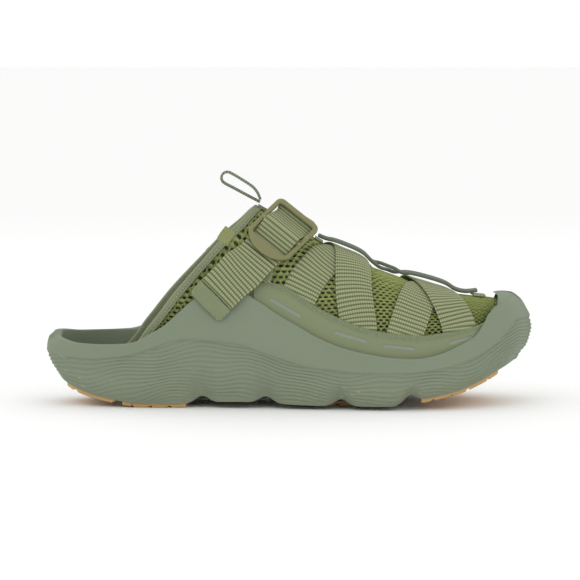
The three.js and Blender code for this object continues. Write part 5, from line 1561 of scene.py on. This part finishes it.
class SANDAL_OT_sole(bpy.types.Operator):
    """Build the foam cup sole with its contour grooves, and the gum treads under it."""

    bl_idname = "sandal.sole"
    bl_label = "Sole and treads"
    bl_options = {"REGISTER", "UNDO"}

    def execute(self, context):
        halves = foam_side(LATERAL), foam_side(MEDIAL)
        midsole(*halves)
        edges = [half[0][:, 0, :2].T for half in halves]
        for name, start, end, half_width in TREADS:
            tread(name, start, end, half_width, edges)
        return {"FINISHED"}


class SANDAL_OT_footbed(bpy.types.Operator):
    """Build the footbed and its cloth, and finish the board under them."""

    bl_idname = "sandal.footbed"
    bl_label = "Footbed"
    bl_options = {"REGISTER", "UNDO"}

    def execute(self, context):
        pad = slab("footbed_pad", "footbed", "footbed", 0, FOOTBED_THICK, footbed_offset, 1.2)
        top = FOOTBED_THICK + GAP
        slab("footbed_cloth", "topcloth", "footbed_topcloth", top - 1.2, top + TOPCLOTH_THICK,
             lambda share: footbed_offset(share) - 0.6, 1.0)
        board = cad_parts["insole_board"]
        board.data.materials.clear()
        board.data.materials.append(finish_named("board"))
        return {"FINISHED"}


class SANDAL_OT_upper(bpy.types.Operator):
    """Build the open net in its three pieces, the lining behind it and the collar's binding."""

    bl_idname = "sandal.upper"
    bl_label = "Net, lining and binding"
    bl_options = {"REGISTER", "UNDO"}

    def execute(self, context):
        lining()
        net("net_vamp", SEAM, 0.95, None, "mesh_vamp")
        net("net_quarter_lateral", 0.1, SEAM, LATERAL, "mesh_quarter_lateral")
        net("net_quarter_medial", 0.1, SEAM, MEDIAL, "mesh_quarter_medial")
        binding("binding_lateral", LATERAL, "collar_binding_lateral")
        binding("binding_medial", MEDIAL, "collar_binding_medial")
        edge, normal, ahead, _ = collar_frame()
        stitches("binding_stitches", edge + ahead * 2.4 + normal * 0.62, normal, "shoe")
        return {"FINISHED"}


class SANDAL_OT_straps(bpy.types.Operator):
    """Build the four crossed straps over the vamp and the fused film along the foam's rim."""

    bl_idname = "sandal.straps"
    bl_label = "Crossed straps and film"
    bl_options = {"REGISTER", "UNDO"}

    def execute(self, context):
        for name, nodes in STRAPS.items():
            part = draped_strap(nodes, STRAP_WIDTH, STRAP_SEAT, STRAP_THICK)
            build(name + "_web", [part], finish_named("webbing"), "shoe", [name])
        film("film_lateral", LATERAL, "film_band_lateral")
        film("film_medial", MEDIAL, "film_band_medial")
        return {"FINISHED"}


class SANDAL_OT_instep(bpy.types.Operator):
    """Build the instep strap through its buckle, with the anchor, the tail, its tip and the side label."""

    bl_idname = "sandal.instep"
    bl_label = "Instep strap and buckle"
    bl_options = {"REGISTER", "UNDO"}

    def execute(self, context):
        buckle()
        web = finish_named("webbing")
        wide, thick = INSTEP_STRAP_WIDTH, INSTEP_STRAP_THICK
        bight = buckle_band(bight_line(), thick, wide)
        build("bight_web", [bight], web, "buckle", ["strap_bight"])
        anchor_loop()
        over = strap_from_buckle(
            (BUCKLE_TOP_BAR[0] - GAP, STRAP_LEVEL),
            [node(0.5, MEDIAL, 98, 3), node(0.477, MEDIAL, 88, 1), node(0.44, MEDIAL, 74, STRAP_SEAT),
             node(0.405, MEDIAL, 60, STRAP_SEAT)], wide, thick, 260)
        build("instep_web", [over], web, "shoe", ["instep_strap"])
        way = [on_tail(TIP_FROM + 0.008), on_tail(TIP_FROM)]
        tail = strap_from_buckle((LIP_EDGE + GAP, STRAP_LEVEL), way, wide, thick, 150)
        build("tail_web", [tail], web, "strap_end", ["strap_tail"])
        strap_tip()
        under = strap_from_buckle(
            (ANCHOR_END + GAP, ANCHOR_LOW - ANCHOR_THICK / 2),
            [node(0.428, LATERAL, 82, 1.2), node(0.412, LATERAL, 75, STRAP_SEAT),
             node(0.38, LATERAL, 58, STRAP_SEAT)], wide, ANCHOR_THICK, 130, FINE_RIBS)
        build("anchor_web", [under], finish_named("anchor"), "shoe", ["anchor_webbing"])
        side_label()
        return {"FINISHED"}


class SANDAL_OT_lace(bpy.types.Operator):
    """Build the pull loop, its base, and the elastic lace with its two anchors."""

    bl_idname = "sandal.lace"
    bl_label = "Pull loop and lace"
    bl_options = {"REGISTER", "UNDO"}

    def execute(self, context):
        pull_loop()
        base = draped_strap([ridge(LOOP_FOOT + 2 * GAP / SOLE_LENGTH), ridge(0.458)], LOOP_TAPE_WIDTH,
                            BINDING_PROUD + GAP, LOOP_TAPE_THICK, 30, 14, TAPE_RIBS)
        build("tape_base", [base], finish_named("tape"), "shoe", ["loop_base"])
        lace("lace_lower", LATERAL, LACE_REST + 0.2, "lace_strand_lower")
        lace("lace_upper", MEDIAL, LACE_REST + 0.2 + 2 * LACE_RADIUS + GAP, "lace_strand_upper")
        for name, start, end, width in LACE_ANCHORS:
            ends = [ridge(start), ridge(end)]
            part = draped_strap(ends, width, STRAP_SEAT, STRAP_THICK, 40, 16, FINE_RIBS)
            build(name + "_web", [part], finish_named("anchor"), "shoe", [name])
        return {"FINISHED"}


class SANDAL_OT_stage(bpy.types.Operator):
    """Set the pale floor, the soft lights, the sky and the camera."""

    bl_idname = "sandal.stage"
    bl_label = "Stage"
    bl_options = {"REGISTER", "UNDO"}

    def execute(self, context):
        scene = bpy.context.scene
        scene.view_settings.view_transform = "Standard"
        low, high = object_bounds()
        middle = (low + high) / 2
        mesh = bpy.data.meshes.new("floor")
        reach = 60.0
        mesh.from_pydata([(-reach, -reach, 0), (reach, -reach, 0), (reach, reach, 0), (-reach, reach, 0)], [],
                         [(0, 1, 2, 3)])
        floor = bpy.data.objects.new("floor", mesh)
        scene.collection.objects.link(floor)
        material, _, shader = surface("floor", 0.9)
        shader.inputs["Base Color"].default_value = (0.96, 0.96, 0.955, 1)
        mesh.materials.append(material)
        floor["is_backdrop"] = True
        world = bpy.data.worlds.new("studio")
        scene.world = world
        world.use_nodes = True
        sky = world.node_tree.nodes["Background"]
        sky.inputs["Color"].default_value = (1, 1, 1, 1)
        sky.inputs["Strength"].default_value = 1.0
        lights = [
            ("key", (-0.7, -1.1, 1.3), 0.7, 1.6), ("fill", (0.9, -1.2, 0.7), 1.0, 0.9),
            ("rim", (0.1, 1.2, 1.1), 0.8, 1.0), ("top", (0.0, -0.1, 1.5), 0.7, 0.3),
        ]
        for name, place, size, power in lights:
            lamp = bpy.data.lights.new(name, "AREA")
            lamp.size, lamp.energy = size, power
            light = bpy.data.objects.new(name, lamp)
            light.location = place
            light.rotation_euler = (Vector(middle) - Vector(place)).to_track_quat("-Z", "Y").to_euler()
            scene.collection.objects.link(light)
        camera = bpy.data.cameras.new("camera")
        camera.lens, camera.sensor_width = 200, 36
        view_width, tilt = 0.357, math.radians(4.6)
        distance = view_width / 2 / (camera.sensor_width / 2 / camera.lens)
        target = Vector((0, 0, 0.069))
        back = Vector((0, -math.cos(tilt), math.sin(tilt)))
        body = bpy.data.objects.new("camera", camera)
        body.location = target + back * distance
        body.rotation_euler = (-back).to_track_quat("-Z", "Y").to_euler()
        camera.clip_end = 20
        scene.collection.objects.link(body)
        scene.camera = body
        return {"FINISHED"}


OPERATORS = (SANDAL_OT_finishes, SANDAL_OT_sole, SANDAL_OT_footbed, SANDAL_OT_upper, SANDAL_OT_straps,
             SANDAL_OT_instep, SANDAL_OT_lace, SANDAL_OT_stage)


class SANDAL_PT_panel(bpy.types.Panel):
    """Sidebar panel with the sandal's steps and settings."""

    bl_idname = "SANDAL_PT_panel"
    bl_label = "Strappy sport sandal"
    bl_space_type = "VIEW_3D"
    bl_region_type = "UI"
    bl_category = "Sandal"

    def draw(self, context):
        for operator in OPERATORS:
            self.layout.operator(operator.bl_idname)
        for group in (context.scene.sandal_colours, context.scene.sandal_details):
            for key in group.__annotations__:
                self.layout.prop(group, key)


CLASSES = (SandalColours, SandalDetails, *OPERATORS, SANDAL_PT_panel)


def register():
    """Registers the classes and hangs the settings on the scene."""
    for cls in CLASSES:
        bpy.utils.register_class(cls)
    bpy.types.Scene.sandal_colours = PointerProperty(type=SandalColours)
    bpy.types.Scene.sandal_details = PointerProperty(type=SandalDetails)


def unregister():
    """Takes the settings off the scene and unregisters the classes."""
    del bpy.types.Scene.sandal_colours, bpy.types.Scene.sandal_details
    for cls in reversed(CLASSES):
        bpy.utils.unregister_class(cls)


def main():
    register()
    steps = bpy.ops.sandal
    for step in (steps.finishes, steps.sole, steps.footbed, steps.upper, steps.straps, steps.instep,
                 steps.lace, steps.stage):
        step()


if __name__ == "__main__":
    main()
